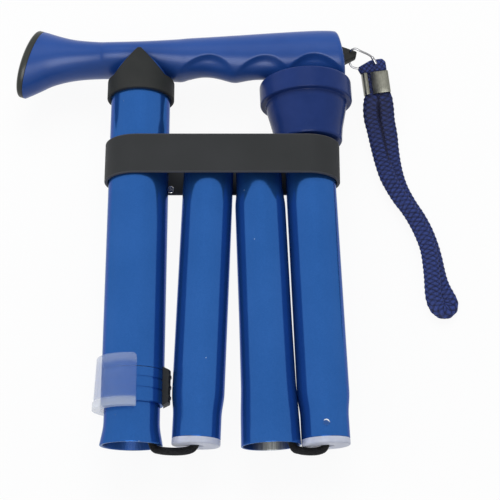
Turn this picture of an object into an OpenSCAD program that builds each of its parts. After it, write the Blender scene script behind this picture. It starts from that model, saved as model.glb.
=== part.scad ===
// Folding walking cane, laid down folded: a T grip with a wrist strap on a telescoping upper section,
// and three lower sections folded beside it under a band.
// X runs along the grip, Y from the fold end up to the grip, Z up from the floor.

/* [Grip] */
// Length of the grip from its end cap to the strap end
grip_len = 164.1; // [120:0.1:200]
// Part of that length on the cap side of the upper tube's axis
grip_left = 57.4; // [40:0.1:80]
// Height of the grip's axis over the upper tube's end
grip_rise = 14.4; // [12:0.1:20]
// Half height that the grip's sections are shares of
grip_half_h = 11.6; // [8:0.1:18]
// Half depth that the grip's sections are shares of
grip_half_d = 13.6; // [9:0.1:20]
// Depth of the finger grooves
groove_deep = 2.3; // [0:0.1:4]
// Half width of one finger groove
groove_half = 14; // [8:0.1:20]
// Radius of the grip's neck, which stands on the upper tube
neck_r = 13.4; // [10:0.1:14]
// Thickness of the end cap at its rim
cap_rim = 2.4; // [1:0.1:5]
// Crown of the end cap over its rim
cap_crown = 3; // [0:0.1:6]

/* [Grip fastening] */
// Radius of the insert's stud in the grip
stud_r = 8; // [4:0.1:10]
// How far the stud goes into the grip's neck and body
stud_len = 17; // [8:0.1:20]
// Length of the insert in the upper tube
insert_len = 18; // [8:0.1:40]
// Radius of the cross pin
pin_r = 2; // [1:0.1:3]
// How deep the cross pin's ends lie under the neck's face
pin_set = 1.2; // [0.4:0.1:3]
// Height of the cross pin over the upper tube's end
pin_rise = 11.5; // [6:0.1:14]

/* [Pointed collar] */
// Wall of the pointed collar round the upper tube
collar_wall = 2.05; // [1:0.05:4]
// How far the pointed collar reaches down over the upper tube
collar_over = 8.7; // [4:0.1:15]
// Height of the collar's points over its lower rim
collar_point = 22.3; // [12:0.1:30]
// Height of the collar's shoulders over its lower rim
collar_shoulder = 9.7; // [5:0.1:15]
// Half width of the collar's points where they reach the shoulders
collar_half = 13.2; // [8:0.1:16]
// Half width of the blunt end of each point
collar_blunt = 0.9; // [0.2:0.1:3]

/* [Upper section] */
// Wall of the upper tube
upper_wall = 1; // [0.6:0.1:2]
// Lower end of the upper tube over the fold end
upper_y = 36.1; // [30:0.1:50]
// Length of the upper tube
upper_len = 151.9; // [100:0.1:200]
// Outer radius of the inner tube
inner_r = 13.5; // [10:0.1:16]
// Wall of the inner tube
inner_wall = 1.6; // [0.8:0.1:2.5]
// Length of the inner tube
inner_len = 118; // [90:0.1:150]
// Outer radius of a flared mouth over the tube's own
flare = 0.9; // [0:0.05:1.5]
// Length of a flared mouth
flare_len = 9; // [4:0.1:15]
// Wall of the bushing between the upper and the inner tube
bush_wall = 0.59; // [0.3:0.01:2]
// Height of the bushing in the upper tube
bush_len = 17; // [8:0.1:30]
// How far the bushing stands out of the upper tube, as a bearing for the lock collar
bush_drop = 6; // [3:0.1:12]
// Height of the guide ring at the inner tube's top
guide_len = 5; // [2:0.1:10]

/* [Height button] */
// Radius of the height button
button_r = 4; // [2:0.1:5]
// Distance from the inner tube's top down to the button
button_low = 14; // [9:0.1:30]
// How far the button stands out of the upper tube
button_out = 1.4; // [0.5:0.1:3]
// Radius and thickness of the button's flange
button_flange = [5.2, 0.8]; // [0.4:0.1:8]
// Distance between two height holes
hole_pitch = 20; // [12:0.5:30]
// Number of height holes
hole_n = 3; // [2:1:4]
// Width and thickness of the leaf spring
leaf = [6, 0.6]; // [0.3:0.1:8]
// Reach of the leaf spring past the button, down and up
leaf_reach = [21, 7]; // [4:0.5:25]

/* [Height lock] */
// Length of the lock collar under the upper tube's end
lock_len = 16.4; // [12:0.1:30]
// Depth and width of the grip rings around the lock collar
lock_groove = [0.4, 0.9]; // [0.2:0.1:4]
// Distance from the upper tube's end to the first grip ring, and on to the next
lock_pitch = 5.1; // [3:0.1:8]
// How far the finger wing stands out of the lock collar
wing_out = 3.5; // [1:0.1:6]
// How far the finger wing reaches past the collar's lower and upper end
wing_past = [0.6, 2]; // [0:0.1:4]
// Height that the finger wing loses at either end on its way out
wing_slope = 1.6; // [0:0.1:4]
// Depth and height of the ridges on the finger wing
wing_ridge = [0.4, 1.4]; // [0.2:0.1:3]
// Angle that the finger wing takes up round the collar, in degrees
wing_turn = 32; // [15:1:50]
// Thickness of the clip
clip_wall = 3.3; // [1:0.1:4]
// Length of the clip
clip_len = 25.5; // [15:0.1:30]
// How far the clip reaches down past the lock collar
clip_drop = 2.9; // [0:0.1:6]
// Height and depth of the step over the clip's lower lip
clip_lip = [4, 0.4]; // [0.2:0.1:6]
// Angle where the clip starts on the back, and the angle that it takes up, in degrees
clip_turn = [60, 221]; // [30:1:300]

/* [Lower sections] */
// Outer radius of the lower tubes
low_r = 12.7; // [10:0.1:15]
// Wall of the lower tubes
low_wall = 0.9; // [0.6:0.1:1.5]
// Gap between a spigot and the mouth that it goes into
spigot_gap = 0.1; // [0.05:0.05:0.5]
// Length of a spigot with its plug
spigot_len = 16; // [10:0.1:25]
// Length of the cone between spigot and tube
cone_len = 8; // [3:0.1:15]
// How far the second and third sections end under the tip's lower edge
mid_short = 9.2; // [4:0.1:20]
// Gap between the finger wing and the second section's foot
gap_12 = 0.5; // [0.4:0.1:10]
// Gap between the second and third sections at their tops
gap_23 = 0.62; // [0.5:0.01:10]
// Gap between the third and fourth sections
gap_34 = 0.8; // [0.5:0.1:5]
// Lean of the second section in degrees
lean_2 = 1.95; // [0:0.01:4]
// Lean of the third and fourth sections in degrees
lean_3 = 2.32; // [0:0.01:4]

/* [Plugs and elastic] */
// Height of a plug's rim
plug_rim = 3.2; // [1.5:0.1:6]
// Height of a plug
plug_len = 13; // [8:0.1:18]
// Rounding of a plug's rim
plug_round = 1; // [0.2:0.1:2]
// Radius and depth of the countersink for the elastic cord
plug_sink = [4, 1.6]; // [0.5:0.1:6]
// Radius and length of the pins that hold the plugs
plug_pin = [1.5, 4]; // [1:0.1:6]
// Height of those pins over the plug's end
plug_pin_y = 9.6; // [6:0.1:12]
// Diameter of the elastic cord
cord_d = 3.8; // [2:0.1:5]
// How far a cord bend starts inside a tube
cord_in = 22; // [12:0.5:40]
// Distance from the leaf spring down to the first cord anchor
anchor_low = 17; // [2:0.5:30]
// Distance from the fourth tube's end to the last cord anchor
anchor_in = 50; // [20:0.5:90]
// Thickness of the cord anchors
anchor_t = 4; // [2:0.1:8]

/* [Rubber tip] */
// Drop of the tip's face under the grip's lower side
tip_drop = 1.6; // [0.8:0.1:8]
// How deep the fourth tube sits in the tip
tip_seat = 16.8; // [10:0.1:18]
// Whole length of the tip
tip_len = 34; // [25:0.1:45]
// Radius of the flange
tip_r = 23.8; // [18:0.1:28]
// Height of the flange with its tread
tip_flange = 12.2; // [8:0.1:18]
// Rounding of the flange
tip_round = 0.8; // [0.2:0.1:2]
// Depth of the tread rings
tread_deep = 1.2; // [0.4:0.1:2.5]
// Thickness of the steel washer
washer_t = 1.9; // [1:0.1:3]

/* [Storage band] */
// Gap between the band and the tip's lower edge
band_gap = 1.4; // [1:0.1:10]
// Width of the band
band_w = 20.6; // [10:0.1:21]
// Thickness of the band
band_t = 1.8; // [1:0.1:3]
// Gap between the band and the fourth section
band_slack = 0.36; // [0.2:0.01:2]
// Place of the band's rivet from the upper tube's axis and the lower edge
band_rivet_at = [15.4, 2.4]; // [1:0.1:30]
// Radii of the rivet's heads and shank
band_rivet_r = [1.9, 1]; // [0.8:0.1:4]
// Thickness of the rivet's heads
band_rivet_t = 0.8; // [0.4:0.1:1.5]

/* [Wrist strap] */
// Width of the strap's braid
strap_w = 7.2; // [5:0.1:12]
// Thickness of the strap's braid
strap_t = 3.3; // [2:0.1:5]
// How far the strap anchor stands out of the grip's end
tab_out = 6.1; // [3:0.1:15]
// How far the strap anchor sits in the grip's end
tab_in = 5.9; // [2:0.1:10]
// Height of the strap anchor's middle over the grip's axis
tab_rise = 2.8; // [0:0.1:5]
// Half height of the strap anchor
tab_high = 5.4; // [2:0.1:8]
// Half thickness of the strap anchor
tab_half = 2.75; // [1.5:0.1:4]
// Radius of the wire
wire_r = 0.55; // [0.3:0.05:1]
// Width, height and thickness of the crimp
crimp = [14, 11.6, 6.6]; // [4:0.1:20]
// Wall of the crimp
crimp_wall = 0.6; // [0.3:0.1:1]
// Width, height and thickness of the strap's folded head
head = [13.4, 6.6, 5.2]; // [3:0.1:16]

/* [Fits] */
// Gap round parts that turn or slide on each other
run = 0.06; // [0.02:0.01:0.1]
// Gap between parts that are fixed to each other
fix = 0.05; // [0.02:0.01:0.1]
// Gap between parts that only pass each other
pass = 0.3; // [0.2:0.05:0.5]
// Overrun of every cut
over = 1; // [0.5:0.1:2]

/* [Hidden] */
$fn = 96;
// Tubes and what fits in and round them
upper_bore = inner_r + run + bush_wall + fix;
upper_r = upper_bore + upper_wall;
upper_top = upper_y + upper_len;
inner_bore = inner_r - inner_wall;
low_bore = low_r - low_wall;
spigot_r = low_bore - spigot_gap;
spigot_bore = spigot_r - low_wall;
mouth_bore = low_bore + flare;
plug_hole = cord_d / 2 + 2 * pass;
button_y = inner_len - button_low;
anchor_1 = button_y - leaf_reach[0] - anchor_low - anchor_t;
// Grip, its collar and its pin over the upper tube's end
grip_y = upper_top + grip_rise;
collar_r = upper_r + fix + collar_wall;
collar_y = upper_top - collar_over;
pin_len = 2 * (neck_r - pin_set);
// Height lock under the upper tube's end, flush with it
bush_r = upper_bore - fix;
lock_top = upper_y - pass;
lock_y = lock_top - lock_len;
wing_bore = upper_r + run;
wing_reach = upper_r + wing_out;
clip_bore = upper_r + run;
clip_r = clip_bore + clip_wall;
clip_y = lock_y - clip_drop;
// Tip under the grip, with the sections and the band under the tip
tip_top = grip_y - grip_half_h - tip_drop;
tip_y = tip_top - tip_len;
last_len = tip_y + tip_seat;
anchor_4 = last_len - anchor_in - anchor_t;
mid_len = tip_y - mid_short;
band_y = tip_y - band_gap - band_w;
// Feet of the sections, side by side
pair_gap = 2 * low_r + gap_34;
foot_2 = wing_reach + gap_12 + spigot_r;
foot_3 = foot_2 + mid_len * (sin(lean_2) + sin(lean_3)) + low_r + spigot_r + gap_23;
foot_4 = foot_3 + pair_gap / cos(lean_3);
// Band round the first and the fourth tube
band_bore = max(upper_r, low_r) + pass;
band_r = band_bore + band_t;
band_edge = foot_4 - band_y * tan(lean_3) + low_r / cos(lean_3) + band_slack;
band_span = band_edge - band_bore;
// Strap anchor in the grip's end
tab_len = tab_in + tab_out;
tab_reach = grip_len - grip_left + tab_out;
tab_y = grip_y + tab_rise;

// Grip sections, cap to strap end: share of the length, rise and half height as shares of the
// half height, half depth as a share of the half depth, and the section's slant in degrees
grip_shares = [
    [0, -0.252, 1.608, 1.066, 17],
    [0.031, -0.152, 1.396, 1, 12],
    [0.064, -0.06, 1.178, 0.956, 8],
    [0.1, -0.026, 1.014, 0.926, 5],
    [0.137, -0.017, 0.886, 0.904, 2],
    [0.179, -0.016, 0.806, 0.904, 0],
    [0.221, -0.022, 0.752, 0.941, 0],
    [0.249, -0.02, 0.732, 0.993, 0],
    [0.355, 0.004, 0.752, 1, 0],
    [0.46, -0.03, 0.9, 0.993, 0],
    [0.5, 0.004, 0.937, 0.956, 0],
    [0.548, 0.036, 0.958, 0.934, 0],
    [0.609, 0.044, 1.018, 0.926, 0],
    [0.669, 0.051, 1.078, 0.926, 0],
    [0.73, 0.062, 1.137, 0.926, 0],
    [0.802, 0.1, 1.175, 0.926, 0],
    [0.875, 0.158, 1.183, 0.919, 0],
    [0.935, 0.205, 1.168, 0.9, -5],
    [0.972, 0.218, 1.148, 0.882, -9],
    [0.983, 0.22, 1.08, 0.83, -10],
    [0.9865, 0.22, 0.93, 0.71, -10]
];
// Middles of the finger grooves as shares of the grip's length
groove_shares = [0.548, 0.73, 0.893];
grip_steps = 2;
grip_sides = 36;

// Smooth run of a table's row at a place between its rows
function mixed(a, b, c, d, t) =
    0.5 * (2 * b + (c - a) * t + (2 * a - 5 * b + 4 * c - d) * t * t
    + (3 * b - a - 3 * c + d) * t * t * t);
function row_at(rows, i, t) = mixed(
    rows[max(i - 1, 0)], rows[i], rows[min(i + 1, len(rows) - 1)],
    rows[min(i + 2, len(rows) - 1)], t);
grip_rows = [
    for (i = [0:len(grip_shares) - 2], k = [0:grip_steps - 1]) row_at(grip_shares, i, k / grip_steps),
    grip_shares[len(grip_shares) - 1]
];
// Angles from the grip's top: where a groove's arched edge starts in its middle, how much lower it
// starts at its sides, and how far the groove falls in
groove_edge = 105;
groove_arch = 38;
groove_fall = 20;
// How deep the finger grooves are at a place along the grip and an angle from its top
function groove_low(ang, q) = let (a = ang > 180 ? 360 - ang : ang)
    1 - pow(1 - min(1, max(0, (a - groove_edge - groove_arch * q * q) / groove_fall)), 2);
function groove_at(x, ang, g) = let (q = min(1, abs(x - g * grip_len) / groove_half))
    groove_low(ang, q) * (1 - q * q);
function groove(x, ang) = groove_deep * max([for (g = groove_shares) groove_at(x, ang, g)]);
function grip_point(row, ang, out) =
    let (
        b = row[2] * grip_half_h,
        a = row[3] * grip_half_d,
        s = 1 - groove(row[0] * grip_len, ang) / max(a, b),
        u = b * s * cos(ang) * out
    )
    [
        row[0] * grip_len - grip_left + u * sin(row[4]),
        grip_y + row[1] * grip_half_h + u * cos(row[4]),
        a * s * sin(ang) * out
    ];
function grip_ring(row, out) = [for (j = [0:grip_sides - 1]) grip_point(row, 360 * j / grip_sides, out)];
grip_pts = [for (r = grip_rows) each grip_ring(r, 1)];

// Outside of the rubber tip's cup: share of the flange's radius and of the cup's height
tip_shares = [[0.71, 0], [0.732, 0.0367], [0.735, 0.11], [0.762, 0.367], [0.865, 0.853], [0.875, 1]];

// Rings of the end cap: share of the section's size and share of the crown
cap_shares = [[0.45, 1], [0.72, 0.82], [0.9, 0.5], [0.985, 0.12], [1, 0]];
cap_way = [-cos(grip_shares[0][4]), sin(grip_shares[0][4]), 0];
function cap_ring(size, lift) = [for (p = grip_ring(grip_shares[0], size)) p + lift * cap_way];
cap_pts = [
    for (c = cap_shares) each cap_ring(c[0], fix + cap_rim + c[1] * cap_crown),
    each cap_ring(1, fix)
];

// Closed skin over rings of points, each ring running from its first axis to its second
function skin(rings, n) = [
    [for (j = [0:n - 1]) j],
    [for (j = [n - 1:-1:0]) (rings - 1) * n + j],
    for (i = [0:rings - 2], j = [0:n - 1]) [i * n + j, (i + 1) * n + j, (i + 1) * n + (j + 1) % n],
    for (i = [0:rings - 2], j = [0:n - 1]) [i * n + j, (i + 1) * n + (j + 1) % n, i * n + (j + 1) % n]
];
// Flat or round tube along a route
function unit(v) = v / norm(v);
function way(p, i) = unit(p[min(i + 1, len(p) - 1)] - p[max(i - 1, 0)]);
function tube_ring(c, t, w, h, n) =
    let (s = unit(cross([0, 0, 1], t)), u = cross(t, s))
    [for (j = [0:n - 1]) c + w * cos(360 * j / n) * s + h * sin(360 * j / n) * u];
function tube_pts(p, w, h, n) = [for (i = [0:len(p) - 1]) each tube_ring(p[i], way(p, i), w, h, n)];

// Elastic bends from a mouth's lip to the next plug: share of the span, then multiples of the
// cord's radius across and outward
bend_shares = [
    [0, -3.6, -7],
    [0, -2.3, -3.2],
    [0, -1.5, -0.8],
    [0, -0.85, 0.75],
    [0.03, 0.3, 1.15],
    [0.18, 0, 1.25],
    [0.36, 0, 1.25],
    [0.6, 0, 1.25],
    [0.8, 0, 1.1],
    [0.93, 0, 0.5],
    [0.99, 0, -0.5],
    [1, 0, -1.5]
];
cord_lead = cord_in + cord_d;
function bend(axis_at, lip, to, end, s) = concat(
    [[axis_at, end - s * cord_lead, 0], [axis_at, end - s * cord_in, 0]],
    [for (b = bend_shares)
        [lip + b[0] * (to - lip) + b[1] * cord_d / 2, end + s * b[2] * cord_d / 2, 0]]
);
top_2 = [foot_2 + mid_len * sin(lean_2), mid_len * cos(lean_2)];
top_3 = [foot_3 - mid_len * sin(lean_3), mid_len * cos(lean_3)];
bend_12 = bend(0, inner_bore + flare, foot_2, 0, -1);
bend_23 = bend(top_2[0] - cord_in * sin(lean_2), top_2[0] + low_bore, top_3[0], top_2[1], 1);
bend_34 = bend(foot_3 - cord_in * sin(lean_3), foot_3 + mouth_bore, foot_4, 0, -1);

// Route of the strap's braid over the floor, down its near leg and back up the other
strap_route = [
    [121.2, 186, 13],
    [120.6, 181, 10.5],
    [120.9, 176, 8],
    [122.4, 170, 6.5],
    [124.4, 162, 5.5],
    [126.4, 153, 5.4],
    [128.8, 144.5, 5.4],
    [131.8, 138, 5.4],
    [135.2, 132, 5.4],
    [138.7, 127, 5.4],
    [142.2, 121, 5.4],
    [145.8, 113, 5.4],
    [148.4, 105, 5.4],
    [149.4, 97.5, 5.4],
    [149.9, 89.5, 5.4],
    [150, 82, 5.4],
    [150.5, 77.5, 5.2],
    [151.8, 74, 4.8],
    [154, 72, 4.2],
    [156.6, 72, 3.4],
    [158.6, 74, 2.6],
    [158.8, 77, 2],
    [157.3, 80.5, 1.8],
    [155.4, 84.5, 1.8],
    [154, 89, 1.8],
    [153, 94, 1.8],
    [152, 100, 1.8],
    [150.4, 107, 1.8],
    [147.8, 115, 1.8],
    [144.3, 122.5, 1.8],
    [139.9, 130, 1.8],
    [136.1, 138, 1.8],
    [133.8, 145.5, 2],
    [132.4, 153, 2.4],
    [131.5, 161, 3.2],
    [131.2, 168, 4.6],
    [129.8, 175.5, 7],
    [128.8, 181.5, 10.2],
    [128.5, 187, 13]
];
strap_sides = 10;

// Route of the strap's wire from its bead through the anchor and back, from the middle of the anchor
wire_shares = [
    [1.0667, -0.42, -1.05],
    [0.9333, -0.12, -0.5],
    [0.7167, 0.26, 0.5],
    [0.4167, 0.4, 1.5],
    [0.1333, 0.34, 1.85],
    [-0.05, 0.16, 1.3],
    [-0.0833, 0.02, 0],
    [-0.0667, -0.1, -1.3],
    [-0.0333, -0.4, -1.95],
    [0.0833, -0.68, -2.25],
    [0.3333, -0.8, -2.45],
    [0.5833, -0.78, -2.6],
    [0.7917, -0.72, -2.64]
];
tab_hole_share = 0.2333;
tab_hole_x = tab_reach - tab_hole_share * tab_len;
wire_route = [
    for (p = wire_shares)
        [tab_hole_x + p[0] * tab_len, tab_y + p[1] * tab_high, p[2] * tab_half]
];

// Places of the crimp and the strap's head, and their turns in degrees
crimp_shares = [0.76, -1, -1.44];
crimp_at = [
    tab_reach + crimp_shares[0] * crimp[0],
    tab_y + crimp_shares[1] * crimp[1],
    crimp_shares[2] * crimp[2]
];
crimp_turn = [14, 0, 8];
head_up = crimp[1] / 2 + head[1] / 2 + pass;

// Half of the whole size, which the object is centred on
left_x = min([for (p = cap_pts) p[0]]);
top_y = max([for (p = concat(grip_pts, cap_pts)) p[1]]);
low_y = min([for (p = concat(bend_12, bend_34)) p[1]]) - cord_d / 2;
mid_x = (left_x + tab_reach) / 2;
mid_y = (low_y + top_y) / 2;

// Places everything over the middle of the floor
module laid() {
    translate([-mid_x, -mid_y, tip_r]) children();
}

// Turned form about the Y axis, from radii and heights
module turned(profile) {
    rotate([-90, 0, 0])
        rotate_extrude()
            polygon(profile);
}

// Frames of the lower sections, each with its foot at zero and its axis along Y
module in_2() {
    laid()
        translate([foot_2, 0, 0])
            rotate([0, 0, -lean_2])
                children();
}

module in_3() {
    laid()
        translate([foot_3, 0, 0])
            rotate([0, 0, lean_3])
                children();
}

module in_4() {
    laid()
        translate([foot_4, 0, 0])
            rotate([0, 0, lean_3])
                children();
}

// Round pin or hole across a tube, along Z
module across(y, r, z0, z1) {
    translate([0, y, z0])
        cylinder(r = r, h = z1 - z0);
}

// Moulded grip with its neck, bored for the stud, the cross pin and the strap anchor
module handle_grip() {
    color([0.19, 0.31, 0.61])
        laid()
            difference() {
                union() {
                    polyhedron(points = grip_pts, faces = skin(len(grip_rows), grip_sides), convexity = 4);
                    turned([
                        [0, upper_top + pass],
                        [neck_r, upper_top + pass],
                        [neck_r, grip_y - grip_half_h / 4],
                        [0, grip_y - grip_half_h / 4]
                    ]);
                }
                turned([
                    [0, upper_top - over],
                    [stud_r + fix, upper_top - over],
                    [stud_r + fix, upper_top + stud_len + fix],
                    [0, upper_top + stud_len + fix]
                ]);
                across(upper_top + pin_rise, pin_r + fix, -pin_len / 2 - fix, pin_len / 2 + fix);
                translate([0, 0, -tab_half - fix])
                    linear_extrude(2 * (tab_half + fix))
                        polygon(tab_outline(fix));
            }
}

// Dark cap on the flared end
module handle_end_cap() {
    color([0.16, 0.17, 0.17])
        laid()
            polyhedron(points = cap_pts, faces = skin(len(cap_shares) + 1, grip_sides), convexity = 4);
}

// Collar with a point on the front and on the back, over the tube's end and the grip's neck
module handle_collar() {
    top = collar_y + collar_point;
    shoulder = collar_y + collar_shoulder;
    color([0.22, 0.23, 0.23])
        laid()
            difference() {
                turned([
                    [upper_r + fix, collar_y],
                    [collar_r, collar_y],
                    [collar_r, top],
                    [neck_r + fix, top],
                    [neck_r + fix, upper_top + fix],
                    [upper_r + fix, upper_top + fix]
                ]);
                translate([0, 0, -collar_r - over])
                    linear_extrude(2 * (collar_r + over))
                        polygon([
                            [-collar_r - over, shoulder],
                            [-collar_half, shoulder],
                            [-collar_blunt, top],
                            [collar_blunt, top],
                            [collar_half, shoulder],
                            [collar_r + over, shoulder],
                            [collar_r + over, top + over],
                            [-collar_r - over, top + over]
                        ]);
                grip_room();
            }
}

// Room for the grip where it runs through the collar
module grip_room() {
    b = grip_shares[8][2] * grip_half_h + 2 * pass;
    a = grip_half_d + 2 * fix;
    translate([-collar_r - over, grip_y, 0])
        rotate([90, 0, 90])
            linear_extrude(2 * (collar_r + over))
                polygon([
                    for (j = [0:grip_sides - 1]) let (ang = 360 * j / grip_sides) [b * cos(ang), a * sin(ang)]
                ]);
}

// Insert in the upper tube's end with the stud that carries the grip
module handle_insert() {
    color([0.3, 0.3, 0.32])
        laid()
            difference() {
                turned([
                    [0, upper_top - insert_len],
                    [upper_bore - fix, upper_top - insert_len],
                    [upper_bore - fix, upper_top - fix],
                    [stud_r, upper_top - fix],
                    [stud_r, upper_top + stud_len],
                    [0, upper_top + stud_len]
                ]);
                across(upper_top + pin_rise, pin_r + fix, -stud_r - over, stud_r + over);
            }
}

// Cross pin through the grip and the stud, behind the collar's points
module handle_pin() {
    color([0.7, 0.7, 0.72])
        laid()
            across(upper_top + pin_rise, pin_r, -pin_len / 2, pin_len / 2);
}

// Side outline of the strap anchor, widened by a gap
function tab_outline(gap) = [
    [tab_reach - tab_len - gap, tab_y + tab_high + gap],
    [tab_reach + gap, tab_y + 0.4 * tab_high + gap],
    [tab_reach - 0.05 * tab_len + gap, tab_y - 0.2 * tab_high - gap],
    [tab_reach - 0.65 * tab_len, tab_y - tab_high - gap],
    [tab_reach - tab_len - gap, tab_y - tab_high - gap]
];

// Tab in the grip's end with a hole for the wire
module strap_anchor() {
    color([0.14, 0.15, 0.15])
        laid()
            difference() {
                translate([0, 0, -tab_half])
                    linear_extrude(2 * tab_half)
                        polygon(tab_outline(0));
                translate([tab_hole_x - 0.08 * tab_len, tab_y + 0.03 * tab_high, 0])
                    cylinder(r = 2.6 * wire_r, h = 2 * (tab_half + over), center = true);
            }
}

// Thin wire that ties the strap to its anchor, with a bead at its end
module strap_wire() {
    color([0.75, 0.76, 0.78])
        laid() {
            polyhedron(
                points = tube_pts(wire_route, wire_r, wire_r, 8),
                faces = skin(len(wire_route), 8),
                convexity = 6
            );
            translate(wire_route[0])
                sphere(r = 2 * wire_r, $fn = 16);
        }
}

// Frame of the crimp, with the strap leaving it along -Y
module in_crimp() {
    laid()
        translate(crimp_at)
            rotate(crimp_turn)
                children();
}

// Folded head of the braid round the wire, with the wire's slot
module strap_head() {
    color([0.15, 0.18, 0.42])
        in_crimp()
            difference() {
                translate([0, head_up, 0])
                    linear_extrude(head[2], center = true)
                        polygon([
                            [-0.5 * head[0], -0.5 * head[1]],
                            [0.5 * head[0], -0.5 * head[1]],
                            [0.5 * head[0], 0.25 * head[1]],
                            [0.36 * head[0], 0.5 * head[1]],
                            [0.1 * head[0], 0.5 * head[1]],
                            [-0.5 * head[0], 0.05 * head[1]]
                        ]);
                translate([-head[0], head_up - 0.3 * head[1], -1.8 * wire_r])
                    cube([1.15 * head[0], head[1], 3.6 * wire_r]);
            }
}

// Metal crimp round both legs of the braid
module strap_crimp() {
    color([0.5, 0.5, 0.47])
        in_crimp()
            difference() {
                cube(crimp, center = true);
                cube(
                    [crimp[0] - 2 * crimp_wall, crimp[1] + 2 * over, crimp[2] - 2 * crimp_wall],
                    center = true
                );
            }
}

// Braided strap
module strap_cord() {
    color([0.16, 0.2, 0.46])
        translate([-mid_x, -mid_y, 0])
            polyhedron(
                points = tube_pts(strap_route, strap_w / 2, strap_t / 2, strap_sides),
                faces = skin(len(strap_route), strap_sides),
                convexity = 6
            );
}

// Upper tube with the height holes on its back
module upper_tube() {
    color([0.2, 0.4, 0.68])
        laid()
            difference() {
                turned([
                    [upper_bore, upper_y],
                    [upper_r, upper_y],
                    [upper_r, upper_top],
                    [upper_bore, upper_top]
                ]);
                for (k = [0:hole_n - 1])
                    across(
                        button_y - k * hole_pitch, button_r + 2 * run, -upper_r - over, -upper_bore + over
                    );
            }
}

// Bushing in the upper tube's end, which guides the inner tube and carries the lock collar
module tube_bushing() {
    color([0.75, 0.75, 0.78])
        laid()
            turned([
                [inner_r + run, upper_y - bush_drop],
                [bush_r, upper_y - bush_drop],
                [bush_r, upper_y + bush_len],
                [inner_r + run, upper_y + bush_len]
            ]);
}

// Middle of a grip ring, counted down from the upper tube's end
function ring_y(k) = upper_y - k * lock_pitch;

// Twist collar that locks the height, flush under the upper tube, with two grip rings
module lock_collar() {
    d = lock_groove[0];
    w = lock_groove[1] / 2;
    seat = upper_y - bush_drop - pass;
    color([0.2, 0.4, 0.68])
        laid()
            turned([
                [inner_r + run, lock_y],
                [upper_r - d, lock_y],
                [upper_r, lock_y + d],
                for (k = [2:-1:1]) each [
                    [upper_r, ring_y(k) - w],
                    [upper_r - d, ring_y(k) - w],
                    [upper_r - d, ring_y(k) + w],
                    [upper_r, ring_y(k) + w]
                ],
                [upper_r, lock_top],
                [bush_r + run, lock_top],
                [bush_r + run, seat],
                [inner_r + run, seat]
            ]);
}

// Finger wing on the lock collar, held by its ribs in the grip rings, with three ridges outside
module lock_wing() {
    d = lock_groove[0] - fix;
    w = lock_groove[1] / 2 - fix;
    low = lock_y - wing_past[0];
    top = lock_top + wing_past[1];
    mid = (low + top) / 2;
    out = wing_reach - wing_ridge[0];
    h = wing_ridge[1] / 2;
    color([0.1, 0.1, 0.12])
        laid()
            rotate([-90, -wing_turn / 2, 0])
                rotate_extrude(angle = wing_turn)
                    polygon([
                        [wing_bore, low],
                        [out, low + wing_slope],
                        for (k = [-1:1]) each [
                            [out, mid + k * lock_pitch - h],
                            [wing_reach, mid + k * lock_pitch - h / 2],
                            [wing_reach, mid + k * lock_pitch + h / 2],
                            [out, mid + k * lock_pitch + h]
                        ],
                        [out, top - wing_slope],
                        [wing_bore, top],
                        for (k = [1:2]) each [
                            [wing_bore, ring_y(k) + w],
                            [upper_r - d, ring_y(k) + w],
                            [upper_r - d, ring_y(k) - w],
                            [wing_bore, ring_y(k) - w]
                        ]
                    ]);
}

// Frosted spring clip round the lock collar and the tube's end, open on the side of the folded tubes
module lock_clip() {
    top = clip_y + clip_len;
    color([0.82, 0.85, 0.93])
        laid()
            rotate([-90, 0, 0])
                rotate([0, 0, clip_turn[0]])
                    rotate_extrude(angle = clip_turn[1])
                        polygon([
                            [clip_bore, clip_y],
                            [clip_r, clip_y],
                            [clip_r, clip_y + clip_lip[0]],
                            [clip_r - clip_lip[1], clip_y + clip_lip[0] + clip_lip[1]],
                            [clip_r - clip_lip[1], top - clip_lip[1]],
                            [clip_r - 2 * clip_lip[1], top],
                            [clip_bore, top]
                        ]);
}

// Inner tube with its flared mouth and the button's hole
module inner_tube() {
    color([0.2, 0.4, 0.68])
        laid()
            difference() {
                turned([
                    [inner_bore + flare, 0],
                    [inner_r + flare, 0],
                    [inner_r, flare_len],
                    [inner_r, inner_len],
                    [inner_bore, inner_len],
                    [inner_bore, flare_len]
                ]);
                across(button_y, button_r + run, -inner_r - over, -inner_bore + over);
            }
}

// Guide ring at the inner tube's top
module inner_guide() {
    color([0.75, 0.75, 0.78])
        laid()
            turned([
                [inner_r + fix, inner_len - guide_len],
                [upper_bore - run, inner_len - guide_len],
                [upper_bore - run, inner_len],
                [inner_r + fix, inner_len]
            ]);
}

// Disc that holds an end of the elastic cord in a tube
module cord_anchor(bore, y) {
    turned([
        [cord_d / 2 + fix, y],
        [bore - fix, y],
        [bore - fix, y + anchor_t],
        [cord_d / 2 + fix, y + anchor_t]
    ]);
}

// Straight run of the elastic cord along a tube's axis
module shock_cord(y0, y1) {
    color([0.08, 0.08, 0.09])
        turned([[0, y0], [cord_d / 2, y0], [cord_d / 2, y1], [0, y1]]);
}

// Bend of the elastic cord from one tube to the next
module cord_bend(route) {
    color([0.08, 0.08, 0.09])
        laid()
            polyhedron(
                points = tube_pts(route, cord_d / 2, cord_d / 2, 12),
                faces = skin(len(route), 12),
                convexity = 6
            );
}

module cord_anchor_1() {
    color([0.6, 0.6, 0.62])
        laid()
            cord_anchor(inner_bore, anchor_1);
}

module shock_cord_1() {
    laid()
        shock_cord(cord_lead + pass, anchor_1 + anchor_t);
}

module cord_bend_12() {
    cord_bend(bend_12);
}

// Height button on the back, with its flange inside the inner tube
module snap_button() {
    seat = sqrt(pow(inner_bore, 2) - pow(button_flange[0], 2)) - 2 * run;
    color([0.72, 0.72, 0.74])
        laid() {
            across(button_y, button_r, -upper_r - button_out, -seat + button_flange[1]);
            across(button_y, button_flange[0], -seat, -seat + button_flange[1]);
        }
}

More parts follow.
